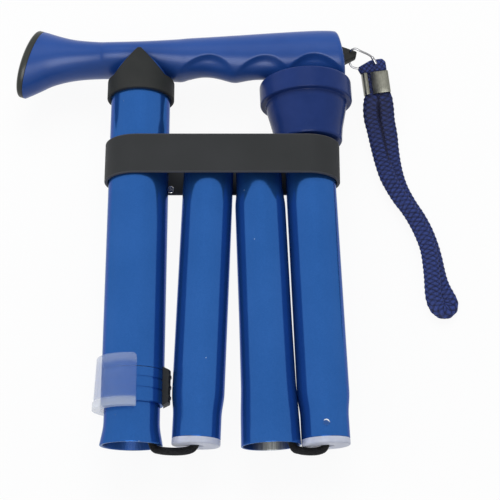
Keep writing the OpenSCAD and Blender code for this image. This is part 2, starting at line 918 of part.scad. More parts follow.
// Leaf spring folded between the button and the tube's far wall
module button_spring() {
    seat = sqrt(pow(inner_bore, 2) - pow(button_flange[0], 2)) - 2 * run;
    low = -seat + button_flange[1] + run;
    high = sqrt(pow(inner_bore, 2) - pow(leaf[0] / 2, 2)) - 2 * run;
    y0 = button_y - leaf_reach[0];
    y1 = button_y + leaf_reach[1];
    t = leaf[1];
    color([0.7, 0.7, 0.72])
        laid()
            translate([-leaf[0] / 2, 0, 0])
                rotate([90, 0, 90])
                    linear_extrude(leaf[0])
                        polygon([
                            [y1, low],
                            [y0 + 6 * t, low],
                            [y0, low + 6 * t],
                            [y0, high - 6 * t],
                            [y0 + 6 * t, high],
                            [y1, high],
                            [y1, high - t],
                            [y0 + 6.5 * t, high - t],
                            [y0 + t, high - 6.5 * t],
                            [y0 + t, low + 6.5 * t],
                            [y0 + 6.5 * t, low + t],
                            [y1, low + t]
                        ]);
}

// Lower tube with a spigot at its foot, held by a pin on the side that the sign names
module spigot_tube(length, side) {
    difference() {
        turned([
            [spigot_bore, plug_rim],
            [spigot_r, plug_rim],
            [spigot_r, spigot_len],
            [low_r, spigot_len + cone_len],
            [low_r, length],
            [low_bore, length],
            [low_bore, spigot_len + cone_len],
            [spigot_bore, spigot_len]
        ]);
        pin_room(side);
    }
}

// Hole for a plug's pin
module pin_room(side) {
    rotate([0, side > 0 ? 0 : 180, 0])
        across(plug_pin_y, plug_pin[0] + fix, spigot_r - plug_pin[1] - fix, spigot_r + over);
}

// Pin of a plug, a little out of the tube's face
module pin_form(side) {
    color([0.82, 0.84, 0.92])
        rotate([0, side > 0 ? 0 : 180, 0])
            across(plug_pin_y, plug_pin[0], spigot_r - plug_pin[1], spigot_r + pass);
}

// Plug in a spigot's end, with a rounded rim and a countersunk hole for the cord
module plug_form(side) {
    e = plug_round;
    color([0.82, 0.84, 0.92])
        difference() {
            turned([
                [plug_sink[0], 0],
                [spigot_r - e, 0],
                [spigot_r - 0.3 * e, 0.3 * e],
                [spigot_r, e],
                [spigot_r, plug_rim - fix],
                [spigot_bore - fix, plug_rim - fix],
                [spigot_bore - fix, plug_len],
                [plug_hole, plug_len],
                [plug_hole, plug_sink[1]]
            ]);
            pin_room(side);
        }
}

module tube_2() {
    color([0.2, 0.4, 0.68])
        in_2()
            spigot_tube(mid_len, -1);
}

module plug_2() {
    in_2()
        plug_form(-1);
}

module plug_pin_2() {
    in_2()
        pin_form(-1);
}

module shock_cord_2() {
    in_2()
        shock_cord(cord_d, mid_len - cord_lead - pass);
}

module cord_bend_23() {
    cord_bend(bend_23);
}

// Third section turned over: its spigot is at the top and its flared mouth at the foot
module over_3() {
    in_3()
        translate([0, mid_len, 0])
            rotate([180, 0, 0])
                children();
}

module tube_3() {
    color([0.2, 0.4, 0.68])
        over_3()
            difference() {
                turned([
                    [spigot_bore, plug_rim],
                    [spigot_r, plug_rim],
                    [spigot_r, spigot_len],
                    [low_r, spigot_len + cone_len],
                    [low_r, mid_len - flare_len],
                    [low_r + flare, mid_len],
                    [mouth_bore, mid_len],
                    [low_bore, mid_len - flare_len],
                    [low_bore, spigot_len + cone_len],
                    [spigot_bore, spigot_len]
                ]);
                pin_room(1);
            }
}

module plug_3() {
    over_3()
        plug_form(1);
}

module plug_pin_3() {
    over_3()
        pin_form(1);
}

module shock_cord_3() {
    over_3()
        shock_cord(cord_d, mid_len - cord_lead - pass);
}

module cord_bend_34() {
    cord_bend(bend_34);
}

module tube_4() {
    color([0.2, 0.4, 0.68])
        in_4()
            spigot_tube(last_len, 1);
}

module plug_4() {
    in_4()
        plug_form(1);
}

module plug_pin_4() {
    in_4()
        pin_form(1);
}

module shock_cord_4() {
    in_4()
        shock_cord(cord_d, anchor_4 + anchor_t);
}

module cord_anchor_4() {
    color([0.6, 0.6, 0.62])
        in_4()
            cord_anchor(low_bore, anchor_4);
}

// Rubber tip: a cup over the tube's end that widens to a flange with ring treads
module rubber_tip() {
    e = tip_round;
    seat = last_len + washer_t + 2 * fix;
    neck = tip_top - tip_flange;
    face = tip_top;
    floor_of_ring = tip_top - tread_deep;
    color([0.16, 0.22, 0.45])
        in_4()
            turned([
                [low_r + fix, tip_y],
                for (s = tip_shares) [s[0] * tip_r, tip_y + s[1] * (neck - tip_y)],
                [tip_r - e, neck],
                [tip_r, neck + e],
                [tip_r, face - 2 * e],
                [tip_r - 2 * e, face],
                [0.78 * tip_r, face],
                [0.76 * tip_r, floor_of_ring],
                [0.66 * tip_r, floor_of_ring],
                [0.64 * tip_r, face],
                [0, face],
                [0, seat],
                [low_r + fix, seat]
            ]);
}

// Steel washer between the tube's end and the tip's floor
module tip_washer() {
    color([0.7, 0.7, 0.72])
        in_4()
            turned([
                [0, last_len + fix],
                [low_r - 2 * fix, last_len + fix],
                [low_r - 2 * fix, last_len + fix + washer_t],
                [0, last_len + fix + washer_t]
            ]);
}

// Round-ended form along Y that reaches round the first and the last tube
module band_form(r, y0, y1) {
    translate([0, y0, 0])
        rotate([-90, 0, 0]) {
            cylinder(r = r, h = y1 - y0);
            translate([band_span, 0, 0])
                cylinder(r = r, h = y1 - y0);
            translate([0, -r, 0])
                cube([band_span, 2 * r, y1 - y0]);
        }
}

// Stretch band that keeps the folded sections together
module storage_band() {
    color([0.22, 0.23, 0.23])
        laid()
            difference() {
                band_form(band_r, band_y, band_y + band_w);
                band_form(band_bore, band_y - over, band_y + band_w + over);
                translate([band_rivet_at[0], 0, 0])
                    across(
                        band_y + band_rivet_at[1], band_rivet_r[1] + fix, -band_r - over, -band_bore + over
                    );
            }
}

// Rivet where the band's ends lap on the back
module band_rivet() {
    y = band_y + band_rivet_at[1];
    color([0.85, 0.86, 0.88])
        laid()
            translate([band_rivet_at[0], 0, 0]) {
                across(y, band_rivet_r[0], -band_r - fix - band_rivet_t, -band_r - fix);
                across(y, band_rivet_r[1], -band_r - fix, -band_bore + fix);
                across(y, band_rivet_r[0], -band_bore + fix, -band_bore + fix + band_rivet_t);
            }
}

handle_grip();
handle_end_cap();
handle_collar();
handle_insert();
handle_pin();
strap_anchor();
strap_wire();
strap_head();
strap_crimp();
strap_cord();
upper_tube();
tube_bushing();
lock_collar();
lock_wing();
lock_clip();
inner_tube();
inner_guide();
cord_anchor_1();
shock_cord_1();
cord_bend_12();
snap_button();
button_spring();
tube_2();
plug_2();
plug_pin_2();
shock_cord_2();
cord_bend_23();
tube_3();
plug_3();
plug_pin_3();
shock_cord_3();
cord_bend_34();
tube_4();
plug_4();
plug_pin_4();
shock_cord_4();
cord_anchor_4();
rubber_tip();
tip_washer();
storage_band();
band_rivet();
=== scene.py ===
"""Folding walking cane, folded flat under its band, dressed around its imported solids."""
import math

import bmesh
import bpy
import numpy as np
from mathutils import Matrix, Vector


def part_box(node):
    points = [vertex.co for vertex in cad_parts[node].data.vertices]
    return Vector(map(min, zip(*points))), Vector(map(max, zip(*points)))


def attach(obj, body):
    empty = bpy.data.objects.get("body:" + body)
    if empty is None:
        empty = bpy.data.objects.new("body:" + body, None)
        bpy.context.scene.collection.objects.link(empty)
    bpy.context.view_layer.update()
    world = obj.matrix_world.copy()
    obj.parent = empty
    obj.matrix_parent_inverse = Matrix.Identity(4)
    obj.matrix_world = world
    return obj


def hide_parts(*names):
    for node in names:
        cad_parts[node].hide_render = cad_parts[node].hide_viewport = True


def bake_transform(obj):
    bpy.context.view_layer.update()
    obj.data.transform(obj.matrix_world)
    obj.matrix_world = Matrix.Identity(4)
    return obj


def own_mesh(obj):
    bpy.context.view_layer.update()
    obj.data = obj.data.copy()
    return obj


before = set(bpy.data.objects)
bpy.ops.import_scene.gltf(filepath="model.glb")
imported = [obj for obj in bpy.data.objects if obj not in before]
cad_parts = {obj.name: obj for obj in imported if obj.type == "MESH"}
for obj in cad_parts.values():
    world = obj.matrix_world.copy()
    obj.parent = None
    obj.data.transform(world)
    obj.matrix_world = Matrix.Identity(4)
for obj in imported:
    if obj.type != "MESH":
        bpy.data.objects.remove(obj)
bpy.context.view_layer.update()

# Camera, soft light and white floor
# The cane lies on a white table and is seen from above, a little from the fold end, under
# two broad soft lamps that light it and a third that is only seen in its gloss.
TILT = math.radians(17.5)
AIM = np.array((0.0333428, -0.009, 0.0238))
FAR = 0.625
eye = bpy.data.cameras.new("camera")
eye.lens, eye.sensor_width = 90, 36
eye.clip_start, eye.clip_end = 0.01, 20
camera = bpy.data.objects.new("camera", eye)
camera.location = AIM + FAR * np.array((0, -math.sin(TILT), math.cos(TILT)))
camera.rotation_euler = (TILT, 0, 0)
bpy.context.collection.objects.link(camera)
scene = bpy.context.scene
scene.camera = camera
scene.view_settings.view_transform = "Standard"


def put(tree, kind, inputs=None, **settings):
    """Adds one node: settings are its own values, and inputs names sockets with a value or another
    node's output."""
    node = tree.nodes.new(kind)
    for key, value in settings.items():
        setattr(node, key, value)
    for key, value in (inputs or {}).items():
        if isinstance(value, bpy.types.NodeSocket):
            tree.links.new(value, node.inputs[key])
        else:
            node.inputs[key].default_value = value
    return node


def seen_rays(tree):
    """1 on rays from the camera, a mirror or clear plastic, 0 on rays that light the object."""
    path = put(tree, "ShaderNodeLightPath").outputs
    seen = path["Is Camera Ray"]
    for kind in ("Is Glossy Ray", "Is Transmission Ray"):
        seen = put(tree, "ShaderNodeMath", {0: seen, 1: path[kind]}, operation="MAXIMUM").outputs[0]
    return seen


world = bpy.data.worlds.new("studio")
world.use_nodes = True
scene.world = world
sky = world.node_tree
sky.nodes.clear()
dim = put(sky, "ShaderNodeBackground", {"Color": (0.95, 0.97, 1, 1), "Strength": 0.5})
white = put(sky, "ShaderNodeBackground", {"Color": (1, 1, 1, 1), "Strength": 1.0})
both = put(sky, "ShaderNodeMixShader", {0: seen_rays(sky), 1: dim.outputs[0], 2: white.outputs[0]})
put(sky, "ShaderNodeOutputWorld", {0: both.outputs[0]})


def lamp(name, place, size, watts, shines):
    """Soft square lamp at a place, turned to the middle of the cane. It either lights matte surfaces or
    shines in glossy ones."""
    light = bpy.data.lights.new(name, "AREA")
    light.shape, light.size, light.energy = "SQUARE", size, watts
    obj = bpy.data.objects.new(name, light)
    obj.location = place
    way = np.array(place) - (0, 0, 0.02)
    obj.rotation_euler = (math.acos(way[2] / np.linalg.norm(way)), 0, math.atan2(way[0], -way[1]))
    obj.visible_glossy, obj.visible_diffuse = shines, not shines
    bpy.context.collection.objects.link(obj)


lamp("key_lamp", (0.05, 0.55, 0.85), 0.6, 4.2, False)
lamp("left_lamp", (-0.8, -0.1, 0.8), 1.0, 2.4, False)
lamp("shine_lamp", (0.04, -0.62, 0.95), 0.7, 9.4, True)

floor_mesh = bpy.data.meshes.new("floor")
HALF = 3.0
FLOOR = [(-HALF, -HALF, 0), (HALF, -HALF, 0), (HALF, HALF, 0), (-HALF, HALF, 0)]
floor_mesh.from_pydata(FLOOR, [], [(0, 1, 2, 3)])
floor = bpy.data.objects.new("floor", floor_mesh)
bpy.context.collection.objects.link(floor)
table_white = bpy.data.materials.new("table_white")
table_white.use_nodes = True
tree = table_white.node_tree
tree.nodes.clear()
matte = put(tree, "ShaderNodeBsdfDiffuse", {"Color": (0.9, 0.9, 0.9, 1)})
glow = put(tree, "ShaderNodeEmission", {"Color": (1, 1, 1, 1), "Strength": 1.0})
share = put(tree, "ShaderNodeMath", {0: seen_rays(tree), 1: 0.93}, operation="MULTIPLY")
both = put(tree, "ShaderNodeMixShader", {0: share.outputs[0], 1: matte.outputs[0], 2: glow.outputs[0]})
put(tree, "ShaderNodeOutputMaterial", {0: both.outputs[0]})
floor_mesh.materials.append(table_white)

# Wrist strap's braid
# A flat cord of nylon strands, plaited over and under. It leaves the crimp at the grip's
# strap end, lies on the table in one long narrow loop and goes back into the crimp.
MIDDLE = (-23.3572, -107.0, 23.8)
MM = 0.001


def laid(points):
    """Places in mm from the upper tube's axis and the fold end, moved to the middle of the floor, in
    metres."""
    return (np.asarray(points, float) + MIDDLE) * MM


def cubic(rows, i, t):
    """Cubic step from row i + 1 to the next, whose slope at a row is half the way between its
    neighbours."""
    a, b, c, d = rows[i], rows[i + 1], rows[i + 2], rows[i + 3]
    return 0.5 * (2 * b + (c - a) * t + (2 * a - 5 * b + 4 * c - d) * t**2 + (3 * b - a - 3 * c + d) * t**3)


def spaced(line, count, endpoint=True):
    """Points at even steps along a line, and the line's length."""
    gone = np.concatenate(([0], np.cumsum(np.linalg.norm(np.diff(line, axis=0), axis=1))))
    even = np.linspace(0, gone[-1], count, endpoint=endpoint)
    return np.stack([np.interp(even, gone, part) for part in line.T], -1), gone[-1]


def curve_through(points, count):
    """Evenly spaced points on a smooth curve of cubic steps through the given ones, and its length."""
    p = np.asarray(points, float)
    p = np.vstack((2 * p[0] - p[1], p, 2 * p[-1] - p[-2]))
    spans = len(p) - 3
    t = np.linspace(0, spans - 1e-6, spans * 24)
    i = t.astype(int)
    return spaced(cubic(p, i, (t - i)[:, None]), count)


def cross_ways(line, up=(0, 0, 1)):
    """Side and top directions square to a line: side = up x way, top = way x side."""
    way = np.gradient(line, axis=0)
    way /= np.linalg.norm(way, axis=1)[:, None]
    side = np.cross(up, way)
    side /= np.linalg.norm(side, axis=1)[:, None]
    return side, np.cross(way, side)


def skin(name, grid, finishes, round_i=True, caps=False, weld=False, pick=None):
    """Object whose faces join a grid of points to their neighbours. Each ring closes on itself, and with
    round_i the last ring joins the first. caps closes the ends of an open grid, weld merges poles, and
    pick numbers each ring's finish."""
    m, n = grid.shape[:2]
    i, j = np.meshgrid(np.arange(m if round_i else m - 1), np.arange(n), indexing="ij")
    i1, j1 = (i + 1) % m, (j + 1) % n
    quads = np.stack((i * n + j, i1 * n + j, i1 * n + j1, i * n + j1), -1).reshape(-1, 4)
    flat = grid.reshape(-1, 3)
    a, b, c, d = (flat[quads[:, k]] - flat.mean(0) for k in range(4))
    inside_out = (np.cross(b, c) * a).sum() + (np.cross(c, d) * a).sum() < 0
    if inside_out:
        quads = quads[:, ::-1]
    faces = quads.tolist()
    if caps:
        ends = [list(range(n)), list(range((m - 1) * n, m * n))]
        faces += [ends[0], ends[1][::-1]] if not inside_out else [ends[0][::-1], ends[1]]
    mesh = bpy.data.meshes.new(name)
    mesh.from_pydata(flat.tolist(), [], faces)
    for finish in finishes:
        mesh.materials.append(finish)
    if pick is not None:
        index = np.zeros(len(faces), np.int32)
        index[: len(quads)] = np.asarray(pick)[i.ravel()]
        mesh.polygons.foreach_set("material_index", index)
    mesh.polygons.foreach_set("use_smooth", np.ones(len(mesh.polygons), bool))
    if weld:
        work = bmesh.new()
        work.from_mesh(mesh)
        bmesh.ops.remove_doubles(work, verts=work.verts, dist=1e-6)
        work.to_mesh(mesh)
        work.free()
    mesh.validate()
    mesh.update()
    obj = bpy.data.objects.new(name, mesh)
    bpy.context.collection.objects.link(obj)
    return obj


def give(piece, name, values):
    """Gives each point of a piece a value that its material reads by name."""
    layer = piece.data.attributes.new(name, "FLOAT", "POINT")
    layer.data.foreach_set("value", np.asarray(values, np.float32).ravel())


def surface(name, color, roughness, specular=0.5, metallic=0.0):
    """New material, its node tree and its shader, with what is the same all over set on the shader."""
    material = bpy.data.materials.new(name)
    material.use_nodes = True
    shader = material.node_tree.nodes["Principled BSDF"]
    shader.inputs["Base Color"].default_value = (*color, 1)
    shader.inputs["Roughness"].default_value = roughness
    shader.inputs["Specular IOR Level"].default_value = specular
    shader.inputs["Metallic"].default_value = metallic
    return material, material.node_tree, shader


def on_object(tree):
    """Coordinates of the finished piece itself, in metres."""
    return put(tree, "ShaderNodeTexCoord").outputs["Object"]


def cloud(tree, place, scale, detail=3.0):
    """Soft noise from 0 to 1, with features of about 1/scale metres."""
    noise = put(tree, "ShaderNodeTexNoise", {"Vector": place, "Scale": scale, "Detail": detail})
    return noise.outputs["Fac"]


def shades(tree, shader, fac, low, high, stops=(0.3, 0.7)):
    """Base colour that runs from low to high as fac passes the two stops."""
    ramp = put(tree, "ShaderNodeValToRGB", {0: fac})
    for element, stop, color in zip(ramp.color_ramp.elements, stops, (low, high)):
        element.position, element.color = stop, (*color, 1)
    tree.links.new(ramp.outputs[0], shader.inputs["Base Color"])
    return ramp.outputs[0]


def spread(tree, shader, fac, low, high):
    """Roughness that runs from low to high with fac."""
    run = put(tree, "ShaderNodeMapRange", {0: fac, 3: low, 4: high})
    tree.links.new(run.outputs[0], shader.inputs["Roughness"])


def relief(tree, shader, height, strength, depth):
    """Bump from a height of 0 to 1, depth metres deep."""
    bump = put(tree, "ShaderNodeBump", {"Height": height, "Strength": strength, "Distance": depth})
    tree.links.new(bump.outputs[0], shader.inputs["Normal"])


STRAP = [
    (119.9, 197.9, 15.5), (120.6, 193.1, 14.3), (121.2, 188.3, 13.1), (121.2, 185.5, 12.6),
    (120.8, 181, 10.5), (121.3, 176, 8), (122.8, 170, 6.5), (124.5, 162, 5.5), (126.4, 153, 5.4),
    (128.8, 144.5, 5.4), (131.8, 138, 5.4), (135.2, 132, 5.4), (138.7, 127, 5.4), (142.2, 121, 5.4),
    (145.8, 113, 5.4), (148.4, 105, 5.4), (149.4, 97.5, 5.4), (149.9, 89.5, 5.4), (150, 82, 5.4),
    (150.5, 77.5, 5.2), (151.8, 74, 4.8), (154, 72, 4.2), (156.6, 72, 3.4), (158.6, 74, 2.6),
    (158.8, 77, 2), (157.3, 80.5, 1.8), (155.4, 84.5, 1.8), (154, 89, 1.8), (153, 94, 1.8),
    (152, 100, 1.8), (150.4, 107, 1.8), (147.8, 115, 1.8), (144.3, 122.5, 1.8), (139.9, 130, 1.8),
    (136.1, 138, 1.8), (133.8, 145.5, 2), (132.4, 153, 2.4), (131.5, 161, 3.2), (130.9, 168, 4.6),
    (129.5, 175.5, 7), (128.8, 181.5, 10.2), (127.9, 186.2, 12.4), (127.1, 189.3, 13.1),
    (126.3, 194.1, 14.3), (125.6, 198.9, 15.5),
]
STRAP_WIDE, STRAP_THICK, STRAP_FLAT = 8.4, 3.3, 0.85
PLAIT_LONG, PLAIT_ROUND, PLAIT_DEEP, PLAIT_MEAN = 2.7, 5, 0.5, 0.75
PINCH, PINCH_FROM, PINCH_OVER = 0.22, 9, 5


def plait(along, round_turn):
    """Height of a plain plait, 0 in the gaps to 1 on the crowns: two families of strands cross in diamonds.
    In every second diamond the other family lies on top, crowned across itself and dipping at its
    ends."""
    a = along + round_turn
    b = along - round_turn
    fa, fb = a - np.floor(a) - 0.5, b - np.floor(b) - 0.5
    first = (np.floor(a) + np.floor(b)) % 2 == 0
    across, ahead = np.where(first, fa, fb), np.where(first, fb, fa)
    return (1 - 3.4 * across**2) * (1 - 1.4 * ahead**2)


strap_line, strap_long = curve_through(STRAP, 1000)
strap_line = strap_line - (0, 0, MIDDLE[2])
side, top = cross_ways(strap_line)
turn = np.linspace(0, 2 * math.pi, 56, endpoint=False)
u = np.linspace(0, strap_long / PLAIT_LONG, len(strap_line))
from_end = np.minimum(u, u[-1] - u) * PLAIT_LONG
free = np.clip((from_end - PINCH_FROM) / PINCH_OVER, 0, 1)
wide = STRAP_WIDE * (1 - PINCH * (1 - free * free * (3 - 2 * free)))
high = plait(u[:, None], PLAIT_ROUND * turn / (2 * math.pi))
swell = PLAIT_DEEP * (high - PLAIT_MEAN)
flat_cos = np.sign(np.cos(turn)) * np.abs(np.cos(turn)) ** STRAP_FLAT
flat_sin = np.sign(np.sin(turn)) * np.abs(np.sin(turn)) ** STRAP_FLAT
grid = (
    strap_line[:, None]
    + (wide[:, None] / 2 + swell)[..., None] * flat_cos[None, :, None] * side[:, None]
    + (STRAP_THICK / 2 + 0.6 * swell)[..., None] * flat_sin[None, :, None] * top[:, None]
)
braid, tree, shader = surface("navy_braid", (0.03, 0.045, 0.2), 0.62, 0.2)
shader.inputs["Sheen Weight"].default_value = 0.1
shader.inputs["Sheen Roughness"].default_value = 0.4
fibre = put(
    tree, "ShaderNodeTexNoise",
    {"Vector": on_object(tree), "Scale": 1500.0, "Detail": 4.0, "Roughness": 0.7},
).outputs["Fac"]
# The plait's gaps are painted far darker than its crowns: painted shade between the strands.
crown = put(tree, "ShaderNodeAttribute", attribute_name="crown").outputs["Fac"]
lit = put(tree, "ShaderNodeMath", {0: crown, 1: fibre}, operation="MULTIPLY")
shades(tree, shader, lit.outputs[0], (0.003, 0.005, 0.03), (0.045, 0.078, 0.32), (0.12, 0.66))
relief(tree, shader, fibre, 0.5, 0.0003)
strap = skin("wrist_strap", laid(grid), [braid], round_i=False, caps=True)
# Painted shade: near the crimp the braid is darker, and darkest on each leg's inner side where the two legs
# lie side by side
tone = np.interp(from_end, (10, 18, 60, 110), (0.75, 0.72, 0.92, 1))
beside = np.interp(from_end, (10, 14, 42, 52), (0, 1, 1, 0))
inner = np.clip((np.cos(turn) - 0.55) / 0.25, 0, 1)
shown = np.clip(high, 0, 1) * tone[:, None] * (1 - 0.9 * beside[:, None] * inner[None])
give(strap, "crown", shown)
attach(strap, "handle_section")
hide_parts("strap_cord")

# Strap's crimp
# A strip of nickelled steel bent flat round both legs of the braid. Its two edges stop short
# of each other on the left of the front, so the dark braid shows in the gap between them.
TAB_END = (112.8, 205.2, 0)
CRIMP = (14, 11.6, 6.6)
CRIMP_AT = np.array((TAB_END[0] + 0.76 * CRIMP[0], TAB_END[1] - CRIMP[1], -1.44 * CRIMP[2]))
CRIMP_TILT, CRIMP_TURN = math.radians(14), math.radians(8)


def at_crimp(points):
    """Places in the crimp's frame, tipped about X, turned about Z and moved to the crimp."""
    p = np.asarray(points, float)
    c, s = math.cos(CRIMP_TILT), math.sin(CRIMP_TILT)
    p = np.stack((p[..., 0], c * p[..., 1] - s * p[..., 2], s * p[..., 1] + c * p[..., 2]), -1)
    c, s = math.cos(CRIMP_TURN), math.sin(CRIMP_TURN)
    return np.stack((c * p[..., 0] - s * p[..., 1], s * p[..., 0] + c * p[..., 1], p[..., 2]), -1) + CRIMP_AT


def soft_box(wide, thick, corner, turns):
    """Outline of a rectangle with round corners: a circle of the corner's radius moved out to each
    corner."""
    a = np.linspace(0, 2 * math.pi, turns, endpoint=False) + math.pi / turns
    return np.stack((
        np.sign(np.cos(a)) * (wide / 2 - corner) + corner * np.cos(a),
        np.sign(np.sin(a)) * (thick / 2 - corner) + corner * np.sin(a),
    ), -1)


def drawn_lines(tree, scale, detail=4.0):
    """Fine lines from 0 to 1: noise whose features are about 1/scale metres along each axis."""
    stretch = put(tree, "ShaderNodeMapping", {"Vector": on_object(tree), "Scale": scale})
    return cloud(tree, stretch.outputs[0], 1.0, detail)


crimp_metal, tree, shader = surface("crimp_nickel", (0.2, 0.2, 0.17), 0.34, 0.5, 1.0)
brushed = drawn_lines(tree, (2600, 160, 2600))
shades(tree, shader, brushed, (0.15, 0.15, 0.125), (0.24, 0.24, 0.205))
spread(tree, shader, brushed, 0.28, 0.46)
relief(tree, shader, brushed, 0.12, 0.0002)
GAP_FROM, GAP_TO, WALL, CRIMP_CORNER = -0.31 * CRIMP[0], -0.18 * CRIMP[0], 0.6, 1.7
walls = []
for wall in (0, WALL):
    high = CRIMP[2] / 2 - wall
    ring = soft_box(CRIMP[0] - 2 * wall, CRIMP[2] - 2 * wall, CRIMP_CORNER - wall, 64)
    walls.append(np.vstack(([GAP_FROM, high], np.roll(ring, -16, 0), [GAP_TO, high])))
middle, half = (walls[0] + walls[1]) / 2, (walls[0] - walls[1]) / 2
lengths = np.array((-1, -0.975, -0.94, -0.5, 0, 0.5, 0.94, 0.975, 1)) * CRIMP[1] / 2
thin = np.array((0.45, 0.85, 1, 1, 1, 1, 1, 0.85, 0.45))
half = thin[:, None, None] * half
strip = np.concatenate([middle + half, (middle - half)[:, ::-1]], 1)
grid = np.stack((strip[..., 0], np.repeat(lengths[:, None], strip.shape[1], 1), strip[..., 1]), -1)
crimp = skin("strap_clasp", laid(at_crimp(grid)), [crimp_metal], round_i=False, caps=True)
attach(crimp, "handle_section")
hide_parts("strap_crimp")

# Strap's head
# The braid's middle, folded over the wire above the crimp: a short fat bundle of the same
# plait, higher on the right, with the wire laid over it.
HEAD = (13.4, 6.6, 5.2)
HEAD_UP = CRIMP[1] / 2 + HEAD[1] / 2 + 0.3
FOLD = np.array([(-0.53, -0.66), (0.5, -0.6), (0.5, 0.22), (0.38, 0.5), (-0.08, 0.5), (-0.66, 0)]) * HEAD[:2]


def eased(outline, size, steps=6):
    """Closed outline whose corners are eased by arcs: each arc is a(1-t)^2 + 2 corner t(1-t) + b t^2
    between points that lie size from the corner. One more point on each side keeps the flats flat."""
    p = np.asarray(outline, float)
    back, ahead = np.roll(p, 1, 0) - p, np.roll(p, -1, 0) - p
    lb, la = np.linalg.norm(back, axis=1), np.linalg.norm(ahead, axis=1)
    e = np.minimum(np.broadcast_to(size, len(p)), 0.3 * np.minimum(lb, la))[:, None]
    back, ahead = back / lb[:, None], ahead / la[:, None]
    t = np.linspace(0, 1, steps)[None, :, None]
    a, b = (p + e * back)[:, None], (p + e * ahead)[:, None]
    arc = a * (1 - t) ** 2 + 2 * p[:, None] * t * (1 - t) + b * t**2
    before, after = (p + 1.5 * e * back)[:, None], (p + 1.5 * e * ahead)[:, None]
    return np.concatenate((before, arc, after), 1).reshape(-1, 2)


corners = eased(FOLD, 1.6)
rim, _ = spaced(np.vstack((corners, corners[:1])), 160, endpoint=False)
v = np.linspace(-math.pi / 2, math.pi / 2, 61)
shrink = np.clip(np.cos(v), 0, 1) ** 0.5
rise = np.sign(v) * np.abs(np.sin(v)) ** 0.8
flat = rim.mean(0) + shrink[:, None, None] * (rim - rim.mean(0))
high = plait(flat[..., 1] / PLAIT_LONG, flat[..., 0] / PLAIT_LONG)
deep = rise[:, None] * (HEAD[2] / 2 + PLAIT_DEEP * (high - PLAIT_MEAN))
grid = np.stack((flat[..., 0], flat[..., 1] + HEAD_UP, deep), -1)
head = skin("strap_loop", laid(at_crimp(grid)), [braid], round_i=False)
# Painted shade in the plait's gaps, as on the strap.
give(head, "crown", np.clip(high, 0, 1))
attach(head, "handle_section")
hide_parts("strap_head")

# Strap's wire
# Thin nickelled wire, bent round through the anchor's eye and through the strap's head,
# with a short sleeve pressed on its end.
TAB = (12, 5.4, 2.75)
WIRE = np.array([
    (1.12, -0.62, -1.3), (1.06, -0.45, -1.1), (0.92, -0.08, -0.5), (0.7167, 0, 0.5),
    (0.4167, 0.05, 1.5), (0.1333, 0.26, 1.85), (-0.05, 0.16, 1.3), (-0.0833, 0.02, 0),
    (-0.0667, -0.1, -1.3), (-0.0333, -0.4, -1.95), (0.0833, -0.68, -2.25),
    (0.3333, -0.8, -2.45), (0.5833, -0.78, -2.6), (0.7917, -0.72, -2.64),
]) * TAB + TAB_END - (0.2333 * TAB[0], 0, 0)
WIRE_R, SLEEVE_R, SLEEVE_SHARE = 0.55, 0.825, 0.115
nickel, tree, shader = surface("bright_nickel", (0.34, 0.34, 0.35), 0.2, 0.5, 1.0)
dust = cloud(tree, on_object(tree), 900.0)
shades(tree, shader, dust, (0.26, 0.26, 0.27), (0.38, 0.38, 0.39))
spread(tree, shader, dust, 0.14, 0.3)


def rings_along(line, turn, up=(0, 0, 1)):
    """Unit circles square to a line: cos t side + sin t top."""
    side, top = cross_ways(line, up)
    return np.cos(turn)[None, :, None] * side[:, None] + np.sin(turn)[None, :, None] * top[:, None]


wire_line, _ = curve_through(WIRE, 180)
turn = np.linspace(0, 2 * math.pi, 16, endpoint=False)
gone = np.linspace(0, 1, len(wire_line))
thick = WIRE_R * np.sqrt(1 - np.clip((gone - 0.992) / 0.0081, 0, 0.99) ** 2)
sleeve = SLEEVE_R * np.sqrt(np.clip(1 - (np.clip(0.012 - gone, 0, 1) / 0.0121) ** 2, 0.0004, 1))
thick = np.where(gone < SLEEVE_SHARE, sleeve, thick)
grid = wire_line[:, None] + thick[:, None, None] * rings_along(wire_line, turn, (0.2, 0.3, 1))
wire = skin("strap_tie", laid(grid), [nickel], round_i=False, caps=True)
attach(wire, "handle_section")
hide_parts("strap_wire")

# Strap's anchor
# A flat black plastic tab moulded into the grip's end, with bevelled edges and an eye.
ANCHOR = np.array([(-1, 1.06), (0, 0.2), (-0.05, -0.25), (-0.65, -1), (-1, -1)]) * TAB[:2] + TAB_END[:2]
tab_edge = eased(ANCHOR, 0.9)
tab_middle = tab_edge.mean(0)
depth = np.array((-1, -1, -0.8, 0.8, 1, 1)) * TAB[2]
draw = np.array((0, 0.9, 1, 1, 0.9, 0))
grid = np.stack(np.broadcast_arrays(
    tab_middle[0] + draw[:, None] * (tab_edge[None, :, 0] - tab_middle[0]),
    tab_middle[1] + draw[:, None] * (tab_edge[None, :, 1] - tab_middle[1]),
    depth[:, None],
), -1)


def moulded(name, color, roughness, specular, tones, drift, grain, gloss, bump):
    """Moulded plastic or rubber: two tones that drift over the piece, and a fine grain in its gloss and
    its surface. drift and grain are each a noise's scale and detail, and gloss is two roughnesses."""
    material, tree, shader = surface(name, color, roughness, specular)
    place = on_object(tree)
    fine = cloud(tree, place, *grain)
    shades(tree, shader, cloud(tree, place, *drift), *tones)
    spread(tree, shader, fine, *gloss)
    relief(tree, shader, fine, bump, 0.0002)
    return material


black = moulded(
    "black_plastic", (0.022, 0.023, 0.023), 0.5, 0.2, ((0.017, 0.018, 0.018), (0.028, 0.029, 0.028)),
    drift=(60.0, 3.0), grain=(2200.0, 2.0), gloss=(0.44, 0.6), bump=0.12,
)
tab = skin("strap_tab", laid(grid), [black], round_i=False, weld=True)
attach(tab, "handle_section")
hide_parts("strap_anchor")

